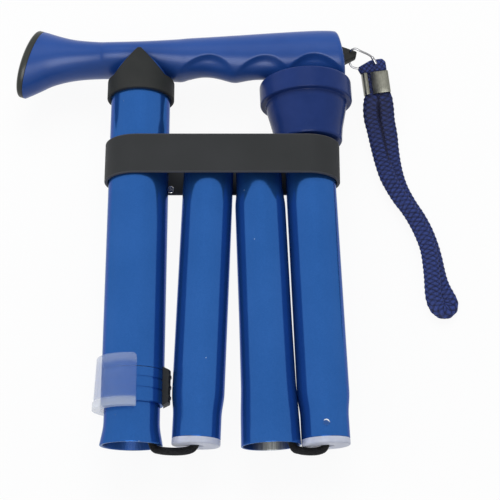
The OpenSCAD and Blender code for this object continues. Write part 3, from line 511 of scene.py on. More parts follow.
# Grip
# Moulded plastic T grip with a satin skin: flared at the cap end, slim over the tube and
# swelling to three finger scallops at the strap end, with a round neck on the tube.
GRIP_LONG, GRIP_LEFT, GRIP_Y, GRIP_HIGH, GRIP_DEEP = 164.1, 57.4, 202.4, 11.6, 13.6
SECTIONS = np.array([
    (0.009, -0.252, 1.608, 1.066, 17), (0.038, -0.152, 1.396, 1, 12), (0.068, -0.06, 1.178, 0.956, 8),
    (0.1, -0.026, 1.014, 0.926, 5), (0.137, -0.017, 0.886, 0.904, 2), (0.179, -0.016, 0.806, 0.904, 0),
    (0.221, -0.022, 0.752, 0.941, 0), (0.249, -0.02, 0.732, 0.993, 0), (0.355, 0.004, 0.752, 1, 0),
    (0.46, -0.03, 0.9, 0.993, 0), (0.5, 0.004, 0.937, 0.956, 0), (0.548, 0.036, 0.958, 0.934, 0),
    (0.609, 0.044, 1.018, 0.926, 0), (0.669, 0.051, 1.078, 0.926, 0), (0.73, 0.062, 1.137, 0.926, 0),
    (0.802, 0.1, 1.175, 0.926, 0), (0.875, 0.158, 1.183, 0.919, 0), (0.935, 0.205, 1.168, 0.9, -5),
    (0.972, 0.218, 1.148, 0.882, -9), (0.983, 0.22, 1.08, 0.83, -10), (0.9865, 0.22, 0.93, 0.71, -10),
])
SCALLOPS = np.array((0.548, 0.73, 0.893)) * GRIP_LONG
SCALLOP_HALF, SCALLOP_DEEP = 14.0, 2.3
ARCH_FROM, ARCH_DROP, ARCH_FALL = 105, 38, 20
ARCH_SHIFT = np.array((3.3, 2.1, 0))


def sections_at(places):
    """Grip sections between the table's rows, by cubic steps."""
    rows = np.vstack((SECTIONS[0], SECTIONS, SECTIONS[-1]))
    i = np.minimum(places.astype(int), len(SECTIONS) - 2)
    return cubic(rows, i, (places - i)[:, None])


def scallop(along, turn):
    """Depth of the finger scallops: each falls in quickly from an arched upper edge near the grip's middle
    height and runs on under the grip, slanted a little to the cap end, deepest in its middle."""
    low = np.degrees(np.minimum(turn, 2 * math.pi - turn))
    front = (180 - low[..., None]) / (180 - ARCH_FROM)
    q = np.abs(along[..., None] - SCALLOPS - ARCH_SHIFT * front) / SCALLOP_HALF
    fall = np.clip((low[..., None] - ARCH_FROM - ARCH_DROP * q**2) / ARCH_FALL, 0, 1)
    return SCALLOP_DEEP * ((1 - (1 - fall) ** 2) * np.clip(1 - q**2, 0, 1) ** 1.4).max(-1)


def grip_ring(rows, turn, out=1.0):
    """Ellipse of each section, slanted by its angle, less the scallops: centre + out (b cos t up + a sin t
    forward)."""
    along = rows[:, :1] * GRIP_LONG
    b, a = rows[:, 2:3] * GRIP_HIGH, rows[:, 3:4] * GRIP_DEEP
    s = out * (1 - scallop(np.broadcast_to(along, (len(rows), len(turn))), turn[None]) / np.maximum(a, b))
    slant = np.radians(rows[:, 4:5])
    rise = b * s * np.cos(turn)
    return np.stack((
        along - GRIP_LEFT + rise * np.sin(slant),
        GRIP_Y + rows[:, 1:2] * GRIP_HIGH + rise * np.cos(slant),
        a * s * np.sin(turn),
    ), -1)


grip_blue = moulded(
    "grip_blue", (0.018, 0.07, 0.29), 0.32, 0.27, ((0.012, 0.064, 0.285), (0.018, 0.08, 0.335)),
    drift=(45.0, 4.0), grain=(1800.0, 3.0), gloss=(0.28, 0.38), bump=0.06,
)
steps = np.linspace(0, len(SECTIONS) - 1, 261)
turn = np.linspace(0, 2 * math.pi, 144, endpoint=False)
body = grip_ring(sections_at(steps), turn)
last = body[-1].mean(0)
close = np.array((0.85, 0.6, 0.3, 0.0))[:, None, None]
push = np.array((0.25, 0.5, 0.62, 0.66))[:, None, None] * np.array((1.0, 0.0, 0.0))
foot = np.broadcast_to(body[0].mean(0), body[:1].shape)
body = np.concatenate((foot, body, last + close * (body[-1:] - last) + push))
grip = skin("grip_body", laid(body), [grip_blue], round_i=False, weld=True)
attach(grip, "handle_section")
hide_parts("handle_grip")


def turned(outline, sides):
    """Outline of radii and heights carried round the Y axis: (r cos a, y, r sin a)."""
    a = np.linspace(0, 2 * math.pi, sides, endpoint=False)
    r, y = np.asarray(outline, float).T
    return np.stack((np.outer(r, np.cos(a)), np.repeat(y[:, None], sides, 1), np.outer(r, np.sin(a))), -1)


NECK_BORE, NECK_R, NECK_LOW, NECK_TOP = 8.05, 13.4, 188.3, 199.5
neck_edge = eased([
    (NECK_BORE, NECK_LOW), (NECK_R, NECK_LOW), (NECK_R, NECK_TOP), (NECK_BORE, NECK_TOP),
], 0.3)
neck = skin("grip_neck", laid(turned(neck_edge, 120)), [grip_blue])
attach(neck, "handle_section")

# Grip's end cap
# A dark, slightly crowned cap with a rounded rim, pressed on the flared end.
CAP_RIM, CAP_CROWN, CAP_SLANT = 2.4, 3.0, math.radians(17)
way = np.array((-math.cos(CAP_SLANT), math.sin(CAP_SLANT), 0))
face, rim = np.linspace(0, 0.9, 16), 1 - 0.1 * (1 - np.linspace(0, 1, 10)[1:]) ** 2
s = np.concatenate((face, rim, [1, 1, 0.985, 0]))
lift = CAP_CROWN * np.sqrt(np.clip(1 - s**2.6, 0, 1)) + CAP_RIM
lift[-4:] = (CAP_RIM - 0.3, 0.3, 0.06, 0.05)
first = SECTIONS[:1]
rings = np.concatenate([grip_ring(first, turn, size) + up * way for size, up in zip(s, lift)])
cap_black = moulded(
    "cap_black", (0.03, 0.033, 0.03), 0.3, 0.3, ((0.024, 0.027, 0.024), (0.036, 0.04, 0.035)),
    drift=(80.0, 3.0), grain=(1500.0, 2.0), gloss=(0.24, 0.38), bump=0.08,
)
cap = skin("grip_cap", laid(rings), [cap_black], round_i=False, weld=True)
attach(cap, "handle_section")
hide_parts("handle_end_cap")

# Pointed collar
# Matte black plastic sleeve over the tube's end and the grip's neck, drawn up to a point on
# the front and on the back of the grip. It is glued on.
COLLAR_R, COLLAR_LOW, COLLAR_TOP, COLLAR_SHOULDER = 17.3, 179.3, 201.6, 189.0
COLLAR_HALF, COLLAR_BLUNT, COLLAR_BORE, COLLAR_NECK, COLLAR_STEP = 13.2, 0.9, 15.25, 14.0, 188.05
marks = np.arccos(np.array((COLLAR_HALF, COLLAR_BLUNT)) / COLLAR_R)
a = np.unique(np.concatenate((np.linspace(0, math.pi / 2, 90), marks)))
a = np.concatenate((a, math.pi - a[-2::-1]))
a = np.concatenate((a, 2 * math.pi - a[-2:0:-1]))
x = np.abs(COLLAR_R * np.cos(a))
peak = np.interp(x, (COLLAR_BLUNT, COLLAR_HALF), (COLLAR_TOP, COLLAR_SHOULDER))
bottom = [(COLLAR_BORE, 0), (16.95, 0), (17.12, 0.06), (17.24, 0.18), (COLLAR_R, 0.36), (COLLAR_R, 0.8)]
upper = [(COLLAR_R, -0.9), (COLLAR_R, -0.45), (17.25, -0.22), (17.12, -0.07), (16.9, 0), (14.4, 0),
         (14.15, -0.05), (COLLAR_NECK, -0.25)]
ones = np.ones(len(a))
rows = [(r * ones, (COLLAR_LOW + y) * ones) for r, y in bottom]
rows += [(r * ones, peak + y) for r, y in upper]
rows += [(r * ones, COLLAR_STEP * ones) for r in (COLLAR_NECK, COLLAR_BORE)]
r, y = np.array(rows).transpose(1, 0, 2)
grid = np.stack((r * np.cos(a), y, r * np.sin(a)), -1)
collar_black = moulded(
    "collar_black", (0.03, 0.031, 0.031), 0.56, 0.1, ((0.026, 0.028, 0.027), (0.038, 0.039, 0.038)),
    drift=(50.0, 3.0), grain=(2600.0, 2.0), gloss=(0.5, 0.66), bump=0.14,
)
collar = skin("pointed_collar", laid(grid), [collar_black])
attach(collar, "handle_section")
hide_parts("handle_collar")

# Upper tube and inner tube
# Drawn aluminium tubes in metallic blue stove paint: fine flakes under a clear gloss, with a
# few pale chips. The inner tube slides in a white bushing. Its bore is bare metal, painted near
# black as painted shade, with more painted shade in the paint's blue on both sides.


def flake_paint(name):
    """Metallic blue paint: small cells of slightly different blue, a low orange peel and rare pale
    chips."""
    material, tree, shader = surface(name, (0.018, 0.105, 0.36), 0.14, 0.15, 0.6)
    place = on_object(tree)
    cells = put(tree, "ShaderNodeTexVoronoi", {"Vector": place, "Scale": 2400.0}).outputs["Color"]
    tone = put(tree, "ShaderNodeSeparateColor", {0: cells}).outputs[0]
    drift = cloud(tree, place, 35.0, 3.0)
    fac = put(tree, "ShaderNodeMath", {0: tone, 1: 0.35}, operation="MULTIPLY")
    fac = put(tree, "ShaderNodeMath", {0: fac.outputs[0], 1: drift}, operation="ADD")
    blue = shades(tree, shader, fac.outputs[0], (0.02, 0.102, 0.35), (0.028, 0.122, 0.405), (0.35, 0.95))
    spots = put(tree, "ShaderNodeTexVoronoi", {"Vector": place, "Scale": 150.0})
    pale = put(tree, "ShaderNodeSeparateColor", {0: spots.outputs["Color"]}).outputs[1]
    rare = put(tree, "ShaderNodeMath", {0: pale, 1: 0.86}, operation="GREATER_THAN")
    small = put(tree, "ShaderNodeMath", {0: spots.outputs["Distance"], 1: 0.035}, operation="LESS_THAN")
    chip = put(tree, "ShaderNodeMath", {0: rare.outputs[0], 1: small.outputs[0]}, operation="MULTIPLY")
    pale_blue = (0.42, 0.55, 0.75, 1)
    mixed = put(tree, "ShaderNodeMix", {0: chip.outputs[0], 6: blue, 7: pale_blue}, data_type="RGBA")
    tree.links.new(mixed.outputs[2], shader.inputs["Base Color"])
    shader.inputs["Specular Tint"].default_value = (0.1, 0.32, 0.6, 1)
    shader.inputs["Coat Weight"].default_value = 0.08
    shader.inputs["Coat Roughness"].default_value = 0.06
    spread(tree, shader, tone, 0.11, 0.17)
    relief(tree, shader, cloud(tree, place, 420.0, 2.0), 0.035, 0.0003)
    return material


paint = flake_paint("flake_blue")


def drawn_bore(name, low, high, side_shade):
    """Inside of a drawn tube: fine lines along it between two tones, under painted shade in the paint's
    blue on the bore's sides, which thickens between the two given values."""
    material, tree, shader = surface(name, high, 0.36, 0.5, 1.0)
    lines = drawn_lines(tree, (1800, 60, 1800))
    metal = shades(tree, shader, lines, low, high)
    sides = put(tree, "ShaderNodeAttribute", attribute_name="side_shade").outputs["Fac"]
    cover = put(tree, "ShaderNodeMapRange", {0: sides, 1: side_shade[0], 2: side_shade[1]})
    shade_blue = (0.016, 0.06, 0.22, 1)
    mixed = put(tree, "ShaderNodeMix", {0: cover.outputs[0], 6: metal, 7: shade_blue}, data_type="RGBA")
    tree.links.new(mixed.outputs[2], shader.inputs["Base Color"])
    spread(tree, shader, lines, 0.3, 0.5)
    relief(tree, shader, lines, 0.1, 0.0002)
    return material


bare_bore = drawn_bore("bare_aluminium", (0.17, 0.18, 0.18), (0.32, 0.33, 0.33), (0.2, 0.7))
# The inner tube's bore is painted near-black blue: painted shade inside the tube.
shaded_bore = drawn_bore("shaded_aluminium", (0.007, 0.022, 0.08), (0.02, 0.042, 0.12), (0.1, 0.9))


def dress(node, material):
    """Gives a CAD node its finished material."""
    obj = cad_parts[node]
    if not obj.material_slots:
        obj.data.materials.append(material)
    for place in obj.material_slots:
        place.material = material


dress("upper_tube", paint)


def bare_inside(outline, outside):
    """Finish of each ring of an outline: painted outside the wall's middle line and on the ends, else
    bare."""
    r, y = outline.T
    middle = np.interp(y, *outside)
    on_end = np.abs(np.roll(y, -1) - y) < 0.3 * np.abs(np.roll(r, -1) - r)
    return np.where((0.5 * (r + np.roll(r, -1)) > middle) | on_end, 0, 1)


def give_side_shade(tube, rings, sides):
    """Gives a turned tube its painted shade, 0 in front and behind and 1 on both sides: the size of cos a.
    """
    a = np.linspace(0, 2 * math.pi, sides, endpoint=False)
    give(tube, "side_shade", np.tile(np.abs(np.cos(a)), rings))


INNER_R, INNER_BORE, INNER_LONG, FLARE, FLARE_LONG = 13.5, 11.9, 118, 1.7, 9.0
INNER_MIDDLE = (INNER_R + INNER_BORE) / 2
TUBE_SIDES = 180
edge = eased([
    (INNER_BORE + FLARE, 0), (INNER_R + FLARE, 0), (INNER_R, FLARE_LONG), (INNER_R, INNER_LONG),
    (INNER_BORE, INNER_LONG), (INNER_BORE, FLARE_LONG),
], (0.5, 0.5, 3, 0.3, 0.3, 3))
wall = ((0, FLARE_LONG, INNER_LONG), (INNER_MIDDLE + FLARE, INNER_MIDDLE, INNER_MIDDLE))
grid = laid(turned(edge, TUBE_SIDES))
inner_piece = skin("inner_tube_wall", grid, [paint, shaded_bore], pick=bare_inside(edge, wall))
# Painted shade in the paint's blue on both sides of the bore.
give_side_shade(inner_piece, len(edge), TUBE_SIDES)
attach(inner_piece, "inner_section")
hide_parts("inner_tube")

white_plastic = moulded(
    "plug_white", (0.6, 0.63, 0.75), 0.42, 0.3, ((0.53, 0.56, 0.68), (0.68, 0.71, 0.83)),
    drift=(160.0, 4.0), grain=(1400.0, 3.0), gloss=(0.36, 0.5), bump=0.08,
)
shader = white_plastic.node_tree.nodes["Principled BSDF"]
shader.inputs["Subsurface Weight"].default_value = 0.12
shader.inputs["Subsurface Radius"].default_value = (0.6, 0.7, 1.0)
shader.inputs["Subsurface Scale"].default_value = 0.002
for node in ("tube_bushing", "inner_guide"):
    dress(node, white_plastic)

# Fastenings inside the cane
# Plain turned and pressed steel: the grip's cross pin, the height button, the discs that
# anchor the elastic and the tip's washer. The insert is black nylon.
steel, tree, shader = surface("plain_steel", (0.55, 0.55, 0.56), 0.32, 0.5, 1.0)
wear_and_sheen = cloud(tree, on_object(tree), 700.0, 4.0)
shades(tree, shader, wear_and_sheen, (0.44, 0.44, 0.45), (0.64, 0.64, 0.65))
spread(tree, shader, wear_and_sheen, 0.24, 0.42)
relief(tree, shader, wear_and_sheen, 0.06, 0.0002)
for node in ("handle_pin", "snap_button", "cord_anchor_1", "cord_anchor_4", "tip_washer"):
    dress(node, steel)
dress("handle_insert", black)

# Leaf spring
# A strip of spring steel folded to a U: one leg lies on the inner tube's far wall, and the
# other lies under the height button and goes down with it.
LEAF_T, LEAF_BEND, LEAF_EDGE = 0.0006, 0.0036, 0.0001
low, high = (np.array(corner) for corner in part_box("button_spring"))
y0, z0, z1 = low[1] + LEAF_T / 2, low[2] + LEAF_T / 2, high[2] - LEAF_T / 2
q = np.linspace(0, math.pi / 2, 12)
leg = np.linspace(high[1], y0 + LEAF_BEND, 16)
wall = np.linspace(z0 + LEAF_BEND, z1 - LEAF_BEND, 16)[1:-1]
way = np.concatenate((
    np.stack((leg[:-1], np.full(len(leg) - 1, z0)), -1),
    np.stack((y0 + LEAF_BEND * (1 - np.sin(q)), z0 + LEAF_BEND * (1 - np.cos(q))), -1),
    np.stack((np.full(len(wall), y0), wall), -1),
    np.stack((y0 + LEAF_BEND * (1 - np.cos(q)), z1 - LEAF_BEND * (1 - np.sin(q))), -1),
    np.stack((leg[-2::-1], np.full(len(leg) - 1, z1)), -1),
))
along = np.gradient(way, axis=0)
along /= np.linalg.norm(along, axis=1)[:, None]
off = np.stack((-along[:, 1], along[:, 0]), -1)
half = (high[0] - low[0]) / 2
wide, deep = half - LEAF_EDGE, LEAF_T / 2 - LEAF_EDGE
across = np.array((-half, -wide, wide, half, half, wide, -wide, -half))
thick = np.array((-deep, -LEAF_T / 2, -LEAF_T / 2, -deep, deep, LEAF_T / 2, LEAF_T / 2, deep))
flat = way[:, None] + off[:, None] * thick[None, :, None]
middle = (low[0] + high[0]) / 2
grid = np.concatenate((np.broadcast_to(middle + across, flat.shape[:2])[..., None], flat), -1)
leaf = skin("leaf_spring", grid, [steel], round_i=False, caps=True)
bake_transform(leaf)
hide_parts("button_spring")

# Height lock
# A blue collar, flush under the upper tube's end, twists to lock the height. A black finger
# wing is keyed into its grip rings, and a frosted spring clip of clear plastic lies round it,
# open on the side of the folded tubes, with a thick lower lip.
dress("lock_collar", flake_paint("lock_blue"))
dress("lock_wing", black)

CLIP_BORE, CLIP_R, CLIP_LOW, CLIP_LONG, CLIP_STEP, CLIP_IN = 15.26, 18.56, 16.5, 25.5, 4.0, 0.4
CLIP_FINE, CLIP_FROM, CLIP_TO = 0.8, 79, 300
edge = eased([
    (CLIP_BORE, 0), (CLIP_R, 0), (CLIP_R, CLIP_STEP), (CLIP_R - CLIP_IN, CLIP_STEP + CLIP_IN),
    (CLIP_R - CLIP_IN, CLIP_LONG - CLIP_IN), (CLIP_R - 2 * CLIP_IN, CLIP_LONG), (CLIP_BORE, CLIP_LONG),
], 0.45)
step = np.roll(edge, -1, 0) - edge
parts = np.ceil(np.linalg.norm(step, axis=1) / CLIP_FINE).astype(int)
edge = np.concatenate([p + s * np.arange(n)[:, None] / n for p, s, n in zip(edge, step, parts)])
arc = np.radians(np.linspace(CLIP_FROM, CLIP_TO, 200))
near = np.minimum(arc - arc[0], arc[-1] - arc) * CLIP_R
CORNER = 2.4
drop = CORNER - np.sqrt(np.clip(CORNER**2 - np.clip(CORNER - near, 0, CORNER) ** 2, 0, None))
thin = 1 - 0.6 * np.clip(1 - near / 0.5, 0, 1) ** 2
r = 0.5 * (CLIP_BORE + CLIP_R) + (edge[None, :, 0] - 0.5 * (CLIP_BORE + CLIP_R)) * thin[:, None]
r = r + np.clip(r - CLIP_BORE - 1, 0, None) * (0.35 - 0.6 * edge[None, :, 1] / CLIP_LONG)
y = CLIP_LOW + edge[None, :, 1] * (1 - drop[:, None] / CLIP_LONG)
grid = np.stack((r * np.cos(arc)[:, None], y, r * np.sin(arc)[:, None]), -1)
frosted, tree, shader = surface("frosted_clip", (0.3, 0.42, 0.7), 0.3, 0.12)
haze = cloud(tree, on_object(tree), 260.0, 4.0)
frost_and_sheen = put(tree, "ShaderNodeAttribute", attribute_name="frost_and_sheen").outputs["Fac"]
milky = put(tree, "ShaderNodeMath", {0: haze, 1: 0.12, 2: frost_and_sheen}, operation="MULTIPLY_ADD")
shades(tree, shader, milky.outputs[0], (0.05, 0.18, 0.64), (0.86, 0.93, 1.0), (0.06, 1.0))
spread(tree, shader, haze, 0.24, 0.38)
relief(tree, shader, haze, 0.04, 0.0003)
shader.inputs["Alpha"].default_value = 0.32
clip = skin("frosted_clip", laid(grid), [frosted], round_i=False, caps=True)
heights = (0, CLIP_STEP, CLIP_STEP + 0.8, CLIP_LONG - 4.2, CLIP_LONG - 3.4, CLIP_LONG)
along = np.interp(edge[:, 1], heights, (0.8, 0.7, 0.15, 0.15, 0.38, 0.44))
# The lip and the top margin are milkier frosting; the whitening toward the clip's left side, where its wall
# is seen at a slant, is a painted reflection.
frosting_and_sheen = along + 0.06 * np.clip(-np.cos(arc), 0, 1)[:, None]
give(clip, "frost_and_sheen", frosting_and_sheen)
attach(clip, "lock_clip")
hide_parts("lock_clip")

# Lower tubes
# Three lengths of the same painted tube, each drawn down to a spigot at one end. The third
# lies turned over, with its spigot at the top, and widens to a flared mouth at the fold end.
LOW_R, LOW_BORE, SPIGOT_R, SPIGOT_BORE = 12.7, 11.8, 11.7, 10.8
SPIGOT_FROM, SPIGOT_LONG, CONE_LONG = 3.2, 16.0, 8.0
MID_LONG, LAST_LONG, SWELL_BACK = 146.0, 172.0, (60, 28, 16)
LEAN_2, LEAN_3 = math.radians(-1.95), math.radians(2.32)
FOOT_2 = 30.9
TOP_GAP, LAST_APART = 0.62, 26.2
FOOT_3 = FOOT_2 + MID_LONG * (math.sin(-LEAN_2) + math.sin(LEAN_3)) + LOW_R + SPIGOT_R + TOP_GAP
FOOT_4 = FOOT_3 + LAST_APART / math.cos(LEAN_3)


def leaning(points, foot, lean, over=False):
    """Places in a section's own frame, turned end for end if it lies over, then leaned about Z and moved to
    its foot."""
    p = np.asarray(points, float)
    if over:
        p = p * (1, -1, -1) + (0, MID_LONG, 0)
    c, s = math.cos(lean), math.sin(lean)
    return np.stack((c * p[..., 0] - s * p[..., 1] + foot, s * p[..., 0] + c * p[..., 1], p[..., 2]), -1)


def lower_tube(name, long, foot, lean, flare, over):
    """Tube with a spigot and cone at its foot and a plain or flared far end, painted outside and bare
    inside. flare is what its radius gains at the last four places along it."""
    cone = SPIGOT_LONG + CONE_LONG
    places = (SPIGOT_FROM, SPIGOT_LONG, cone, *(long - back for back in SWELL_BACK), long)
    gain = np.array((0, 0, 0, *flare))
    outside = np.array((SPIGOT_R, SPIGOT_R, *[LOW_R] * 5)) + gain
    inside = np.array((SPIGOT_BORE, SPIGOT_BORE, *[LOW_BORE] * 5)) + gain
    edge = np.concatenate((np.stack((outside, places), -1), np.stack((inside, places), -1)[::-1]))
    edge = eased(edge, (0.25, 4, 4, 4, 4, 4, 0.4, 0.4, 4, 4, 4, 4, 4, 0.25))
    grid = leaning(turned(edge, TUBE_SIDES), foot, lean, over)
    middle = (outside + inside) / 2
    tube = skin(name, laid(grid), [paint, bare_bore], pick=bare_inside(edge, (places, middle)))
    # Painted shade in the paint's blue on both sides of the bore.
    give_side_shade(tube, len(edge), TUBE_SIDES)
    return tube


for number, long, foot, lean, flare, over in (
    (2, MID_LONG, FOOT_2, LEAN_2, (0, 0, 0, 0), False),
    (3, MID_LONG, FOOT_3, LEAN_3, (0.3, 0.68, 1.3, FLARE), True),
    (4, LAST_LONG, FOOT_4, LEAN_3, (0, 0, 0, 0), False),
):
    tube = lower_tube(f"tube_wall_{number}", long, foot, lean, flare, over)
    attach(tube, f"section_{number}")
    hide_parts(f"tube_{number}")

# Plugs and their pins
# White nylon plugs pressed into the spigots, with a rounded rim, a countersunk hole for the
# elastic and a small round pin that holds each plug in its tube.
PIN_OFF, PIN_EDGE = (-0.0003, -0.0009), 0.0018


def pin_paint_and_highlight(number):
    """Pin painted over with its tube, with a white painted highlight in a crescent at its upper edge:
    there the distance from a point a little below the pin's middle is more than the set edge."""
    low, high = (np.array(corner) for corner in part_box(f"plug_pin_{number}"))
    middle = (low + high) / 2 + (*PIN_OFF, 0)
    material, tree, shader = surface(f"pin_paint_and_highlight_{number}", (0.018, 0.105, 0.36), 0.3, 0.3)
    flat = put(tree, "ShaderNodeMapping", {"Vector": on_object(tree), "Scale": (1, 1, 0)}).outputs[0]
    centre = (middle[0], middle[1], 0)
    away = put(tree, "ShaderNodeVectorMath", {0: flat, 1: centre}, operation="DISTANCE").outputs["Value"]
    highlight_crescent = put(tree, "ShaderNodeMapRange", {0: away, 1: PIN_EDGE, 2: PIN_EDGE + 0.0001})
    # The white crescent is a painted highlight on the pin's upper edge.
    shades(tree, shader, highlight_crescent.outputs[0], (0.015, 0.085, 0.3), (0.9, 0.92, 0.95), (0.2, 0.8))
    spread(tree, shader, cloud(tree, on_object(tree), 1400.0), 0.24, 0.38)
    return material


PLUG_RIM, PLUG_LONG, PLUG_R, PLUG_BORE, PLUG_SINK = 3.15, 13, SPIGOT_BORE - 0.05, 2.5, 1.6
edge = eased([
    (4, 0), (SPIGOT_R, 0), (SPIGOT_R, PLUG_RIM), (PLUG_R, PLUG_RIM), (PLUG_R, PLUG_LONG),
    (PLUG_BORE, PLUG_LONG), (PLUG_BORE, PLUG_SINK),
], (0.5, 1.6, 0.2, 0.1, 0.4, 0.4, 0.5))
for number, foot, lean, over in (
    (2, FOOT_2, LEAN_2, False),
    (3, FOOT_3, LEAN_3, True),
    (4, FOOT_4, LEAN_3, False),
):
    grid = leaning(turned(edge, 140), foot, lean, over)
    plug = skin(f"nylon_plug_{number}", laid(grid), [white_plastic])
    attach(plug, f"section_{number}")
    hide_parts(f"plug_{number}")
    dress(f"plug_pin_{number}", pin_paint_and_highlight(number))

# Elastic cord
# Black covered rubber cord that runs through the tubes and pulls the sections together. At
# each fold it comes out of a mouth, over its lip, and goes into the next plug's hole.
CORD, CORD_LIP, CORD_LEAD, RIB_LONG, RIB_DEEP = 3.8, 0.9, 22, 1.1, 0.018
elastic, tree, shader = surface("elastic_black", (0.01, 0.01, 0.012), 0.72, 0.12)
cells = put(tree, "ShaderNodeTexVoronoi", {"Vector": on_object(tree), "Scale": 1300.0})
weave = cells.outputs["Distance"]
shades(tree, shader, weave, (0.018, 0.018, 0.021), (0.004, 0.004, 0.005), (0.1, 0.7))
relief(tree, shader, weave, 0.6, 0.0004)
shader.inputs["Sheen Weight"].default_value = 0.15
for node in ("shock_cord_1", "shock_cord_2", "shock_cord_3", "shock_cord_4"):
    dress(node, elastic)
BEND = np.array([
    (0, -3.6, -7), (0, -2.3, -3.2), (0, -1.5, -0.8), (0, -0.75, 0.65), (0.03, 0.3, 1.05), (0.16, 0, 1.2),
    (0.34, 0, 1.32), (0.52, 0, 1.34), (0.68, 0, 1.24), (0.82, 0, 0.98), (0.92, 0, 0.5),
    (0.985, 0, -0.5), (1, 0, -1.5),
])
top_2 = (FOOT_2 + MID_LONG * math.sin(-LEAN_2), MID_LONG * math.cos(LEAN_2))
top_3 = (FOOT_3 - MID_LONG * math.sin(LEAN_3), MID_LONG * math.cos(LEAN_3))
from_2 = top_2[0] - CORD_LEAD * math.sin(-LEAN_2)
from_3 = FOOT_3 - CORD_LEAD * math.sin(LEAN_3)
turn = np.linspace(0, 2 * math.pi, 28, endpoint=False)
for pair, axis, lip, to, end, s, bodies in (
    (12, 0, INNER_BORE + CORD_LIP, FOOT_2, 0, -1, ("inner_section", "section_2")),
    (23, from_2, top_2[0] + LOW_BORE, top_3[0], top_2[1], 1, ("section_2", "section_3")),
    (34, from_3, FOOT_3 + LOW_BORE + CORD_LIP, FOOT_4, 0, -1, ("section_3", "section_4")),
):
    run = np.stack((
        lip + BEND[:, 0] * (to - lip) + BEND[:, 1] * CORD / 2,
        end + s * BEND[:, 2] * CORD / 2,
        np.zeros(len(BEND)),
    ), -1)
    run = np.vstack(([axis, end - s * (CORD_LEAD + CORD), 0], [axis, end - s * CORD_LEAD, 0], run))
    line, long = curve_through(run, 150)
    wave = np.sin(2 * math.pi * np.linspace(0, long / RIB_LONG, len(line)))
    ribs = CORD / 2 * (1 + RIB_DEEP * wave[:, None] * np.cos(4 * turn)[None])
    grid = line[:, None] + ribs[..., None] * rings_along(line, turn)
    bend = skin(f"elastic_bend_{pair}", laid(grid), [elastic], round_i=False, caps=True)
    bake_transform(bend)
    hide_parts(f"cord_bend_{pair}")

# Rubber tip
# Moulded navy rubber ferrule pushed over the fourth tube: a cup with a rolled lip that widens
# to a broad flange, with a ring cut in its tread.
TIP_LOW, TIP_TOP, TIP_R, FLANGE = 155.2, 188.4, 23.8, 11.4
CUP = np.array([(0.71, 0), (0.732, 0.0367), (0.735, 0.11), (0.762, 0.367), (0.865, 0.853), (0.875, 1)])
seat = LAST_LONG + 2.0
neck_y = TIP_TOP - FLANGE
cup = np.stack((CUP[:, 0] * TIP_R, TIP_LOW + CUP[:, 1] * (neck_y - TIP_LOW)), -1)
TIP_BORE, TREAD, NEAR_AXIS = LOW_R + 0.05, TIP_TOP - 1.2, 0.02
outline = [
    (TIP_BORE, TIP_LOW), *cup, (TIP_R, neck_y), (TIP_R, TIP_TOP),
    (0.78 * TIP_R, TIP_TOP), (0.76 * TIP_R, TREAD), (0.66 * TIP_R, TREAD), (0.64 * TIP_R, TIP_TOP),
    (NEAR_AXIS, TIP_TOP), (NEAR_AXIS, seat), (TIP_BORE, seat),
]
edge = eased(outline, (0.4, 0.6, 0.3, 1, 4, 2, 0.7, 0.9, 2.2, 0.4, 0.3, 0.3, 0.4, 0.004, 0.004, 0.3))
tip_rubber = moulded(
    "tip_rubber", (0.015, 0.038, 0.17), 0.26, 0.08, ((0.013, 0.034, 0.15), (0.02, 0.045, 0.185)),
    drift=(70.0, 4.0), grain=(1500.0, 3.0), gloss=(0.2, 0.3), bump=0.08,
)
tip = skin("rubber_foot", laid(leaning(turned(edge, 220), FOOT_4, LEAN_3)), [tip_rubber])
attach(tip, "section_4")
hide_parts("rubber_tip")

# Storage band
# A loop of flat matte black stretch band round all four tubes, joined on the back by a bright
# rivet. Off the folded tubes it springs back round the fourth.
BAND_LOW, BAND_WIDE, BAND_IN, BAND_OUT, BAND_ROOM = 133.2, 20.6, 15.5, 17.3, 0.36
BAND_SPAN = FOOT_4 - BAND_LOW * math.tan(LEAN_3) + LOW_R / math.cos(LEAN_3) + BAND_ROOM - BAND_IN
curve = 120
straight = 60
a = np.linspace(-math.pi / 2, math.pi / 2, curve)
right = np.stack((np.cos(a), np.sin(a), np.full(curve, BAND_SPAN)), -1)
left = np.stack((-np.cos(a), -np.sin(a), np.zeros(curve)), -1)
s = np.linspace(0, 1, straight + 2)[1:-1]
front = np.stack((0 * s, 0 * s + 1, BAND_SPAN * (1 - s)), -1)
behind = np.stack((0 * s, 0 * s - 1, BAND_SPAN * s), -1)
track = np.concatenate((right, front, left, behind))
BAND_TOP = BAND_LOW + BAND_WIDE
edge = eased([(BAND_IN, BAND_LOW), (BAND_OUT, BAND_LOW), (BAND_OUT, BAND_TOP), (BAND_IN, BAND_TOP)], 0.5)
r, y = edge.T
grid = np.stack((
    track[:, None, 2] + track[:, None, 0] * r[None],
    np.broadcast_to(y, (len(track), len(y))),
    track[:, None, 1] * r[None],
), -1)
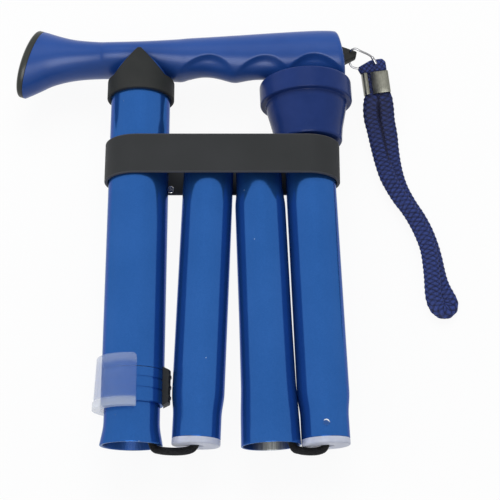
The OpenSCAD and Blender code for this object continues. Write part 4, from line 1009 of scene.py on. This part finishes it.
band_black, tree, shader = surface("band_black", (0.03, 0.032, 0.031), 0.58, 0.1)
grain = drawn_lines(tree, (500, 2400, 500), 3.0)
# The band's eased edges are painted lighter: a painted highlight along them.
edge_highlight = put(tree, "ShaderNodeAttribute", attribute_name="edge_highlight").outputs["Fac"]
drift = cloud(tree, on_object(tree), 40.0, 4.0)
wear_and_sheen = put(tree, "ShaderNodeMath", {0: drift, 1: 0.25, 2: edge_highlight}, operation="MULTIPLY_ADD")
shades(tree, shader, wear_and_sheen.outputs[0], (0.026, 0.028, 0.027), (0.075, 0.076, 0.085), (0.06, 1.0))
spread(tree, shader, grain, 0.5, 0.68)
relief(tree, shader, grain, 0.1, 0.0002)
band = skin("stretch_band", laid(grid), [band_black])
# Painted highlight on the band's edges, within 0.9 mm of its lower and upper faces.
rim = np.clip(1 - np.minimum(y - BAND_LOW, BAND_TOP - y) / 0.9, 0, 1)
give(band, "edge_highlight", np.tile(rim, len(track)))
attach(band, "section_4")
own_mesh(band)
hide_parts("storage_band")

RIVET_X, RIVET_Y, RIVET_R, RIVET_HIGH, RIVET_ROOM, SHANK = 15.4, 135.6, 1.9, 0.85, 0.05, 1.0
head_out, head_in = BAND_OUT + RIVET_HIGH, BAND_IN - RIVET_HIGH
seat_out, seat_in = BAND_OUT + RIVET_ROOM, BAND_IN - RIVET_ROOM
edge = eased([
    (NEAR_AXIS, head_out), (RIVET_R, head_out), (RIVET_R, seat_out), (SHANK, seat_out),
    (SHANK, seat_in), (RIVET_R, seat_in), (RIVET_R, head_in), (NEAR_AXIS, head_in),
], (0.01, 0.6, 0.2, 0.05, 0.05, 0.2, 0.6, 0.01))
form = turned(edge, 48)
grid = np.stack((RIVET_X + form[..., 0], RIVET_Y + form[..., 2], -form[..., 1]), -1)
rivet_white, tree, shader = surface("rivet_bright", (0.8, 0.81, 0.82), 0.22, 0.5, 1.0)
wear_and_sheen = cloud(tree, on_object(tree), 900.0)
shades(tree, shader, wear_and_sheen, (0.72, 0.73, 0.74), (0.86, 0.87, 0.88))
spread(tree, shader, wear_and_sheen, 0.16, 0.3)
rivet = skin("band_stud", laid(grid), [rivet_white])
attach(rivet, "section_4")
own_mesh(rivet)
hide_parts("band_rivet")
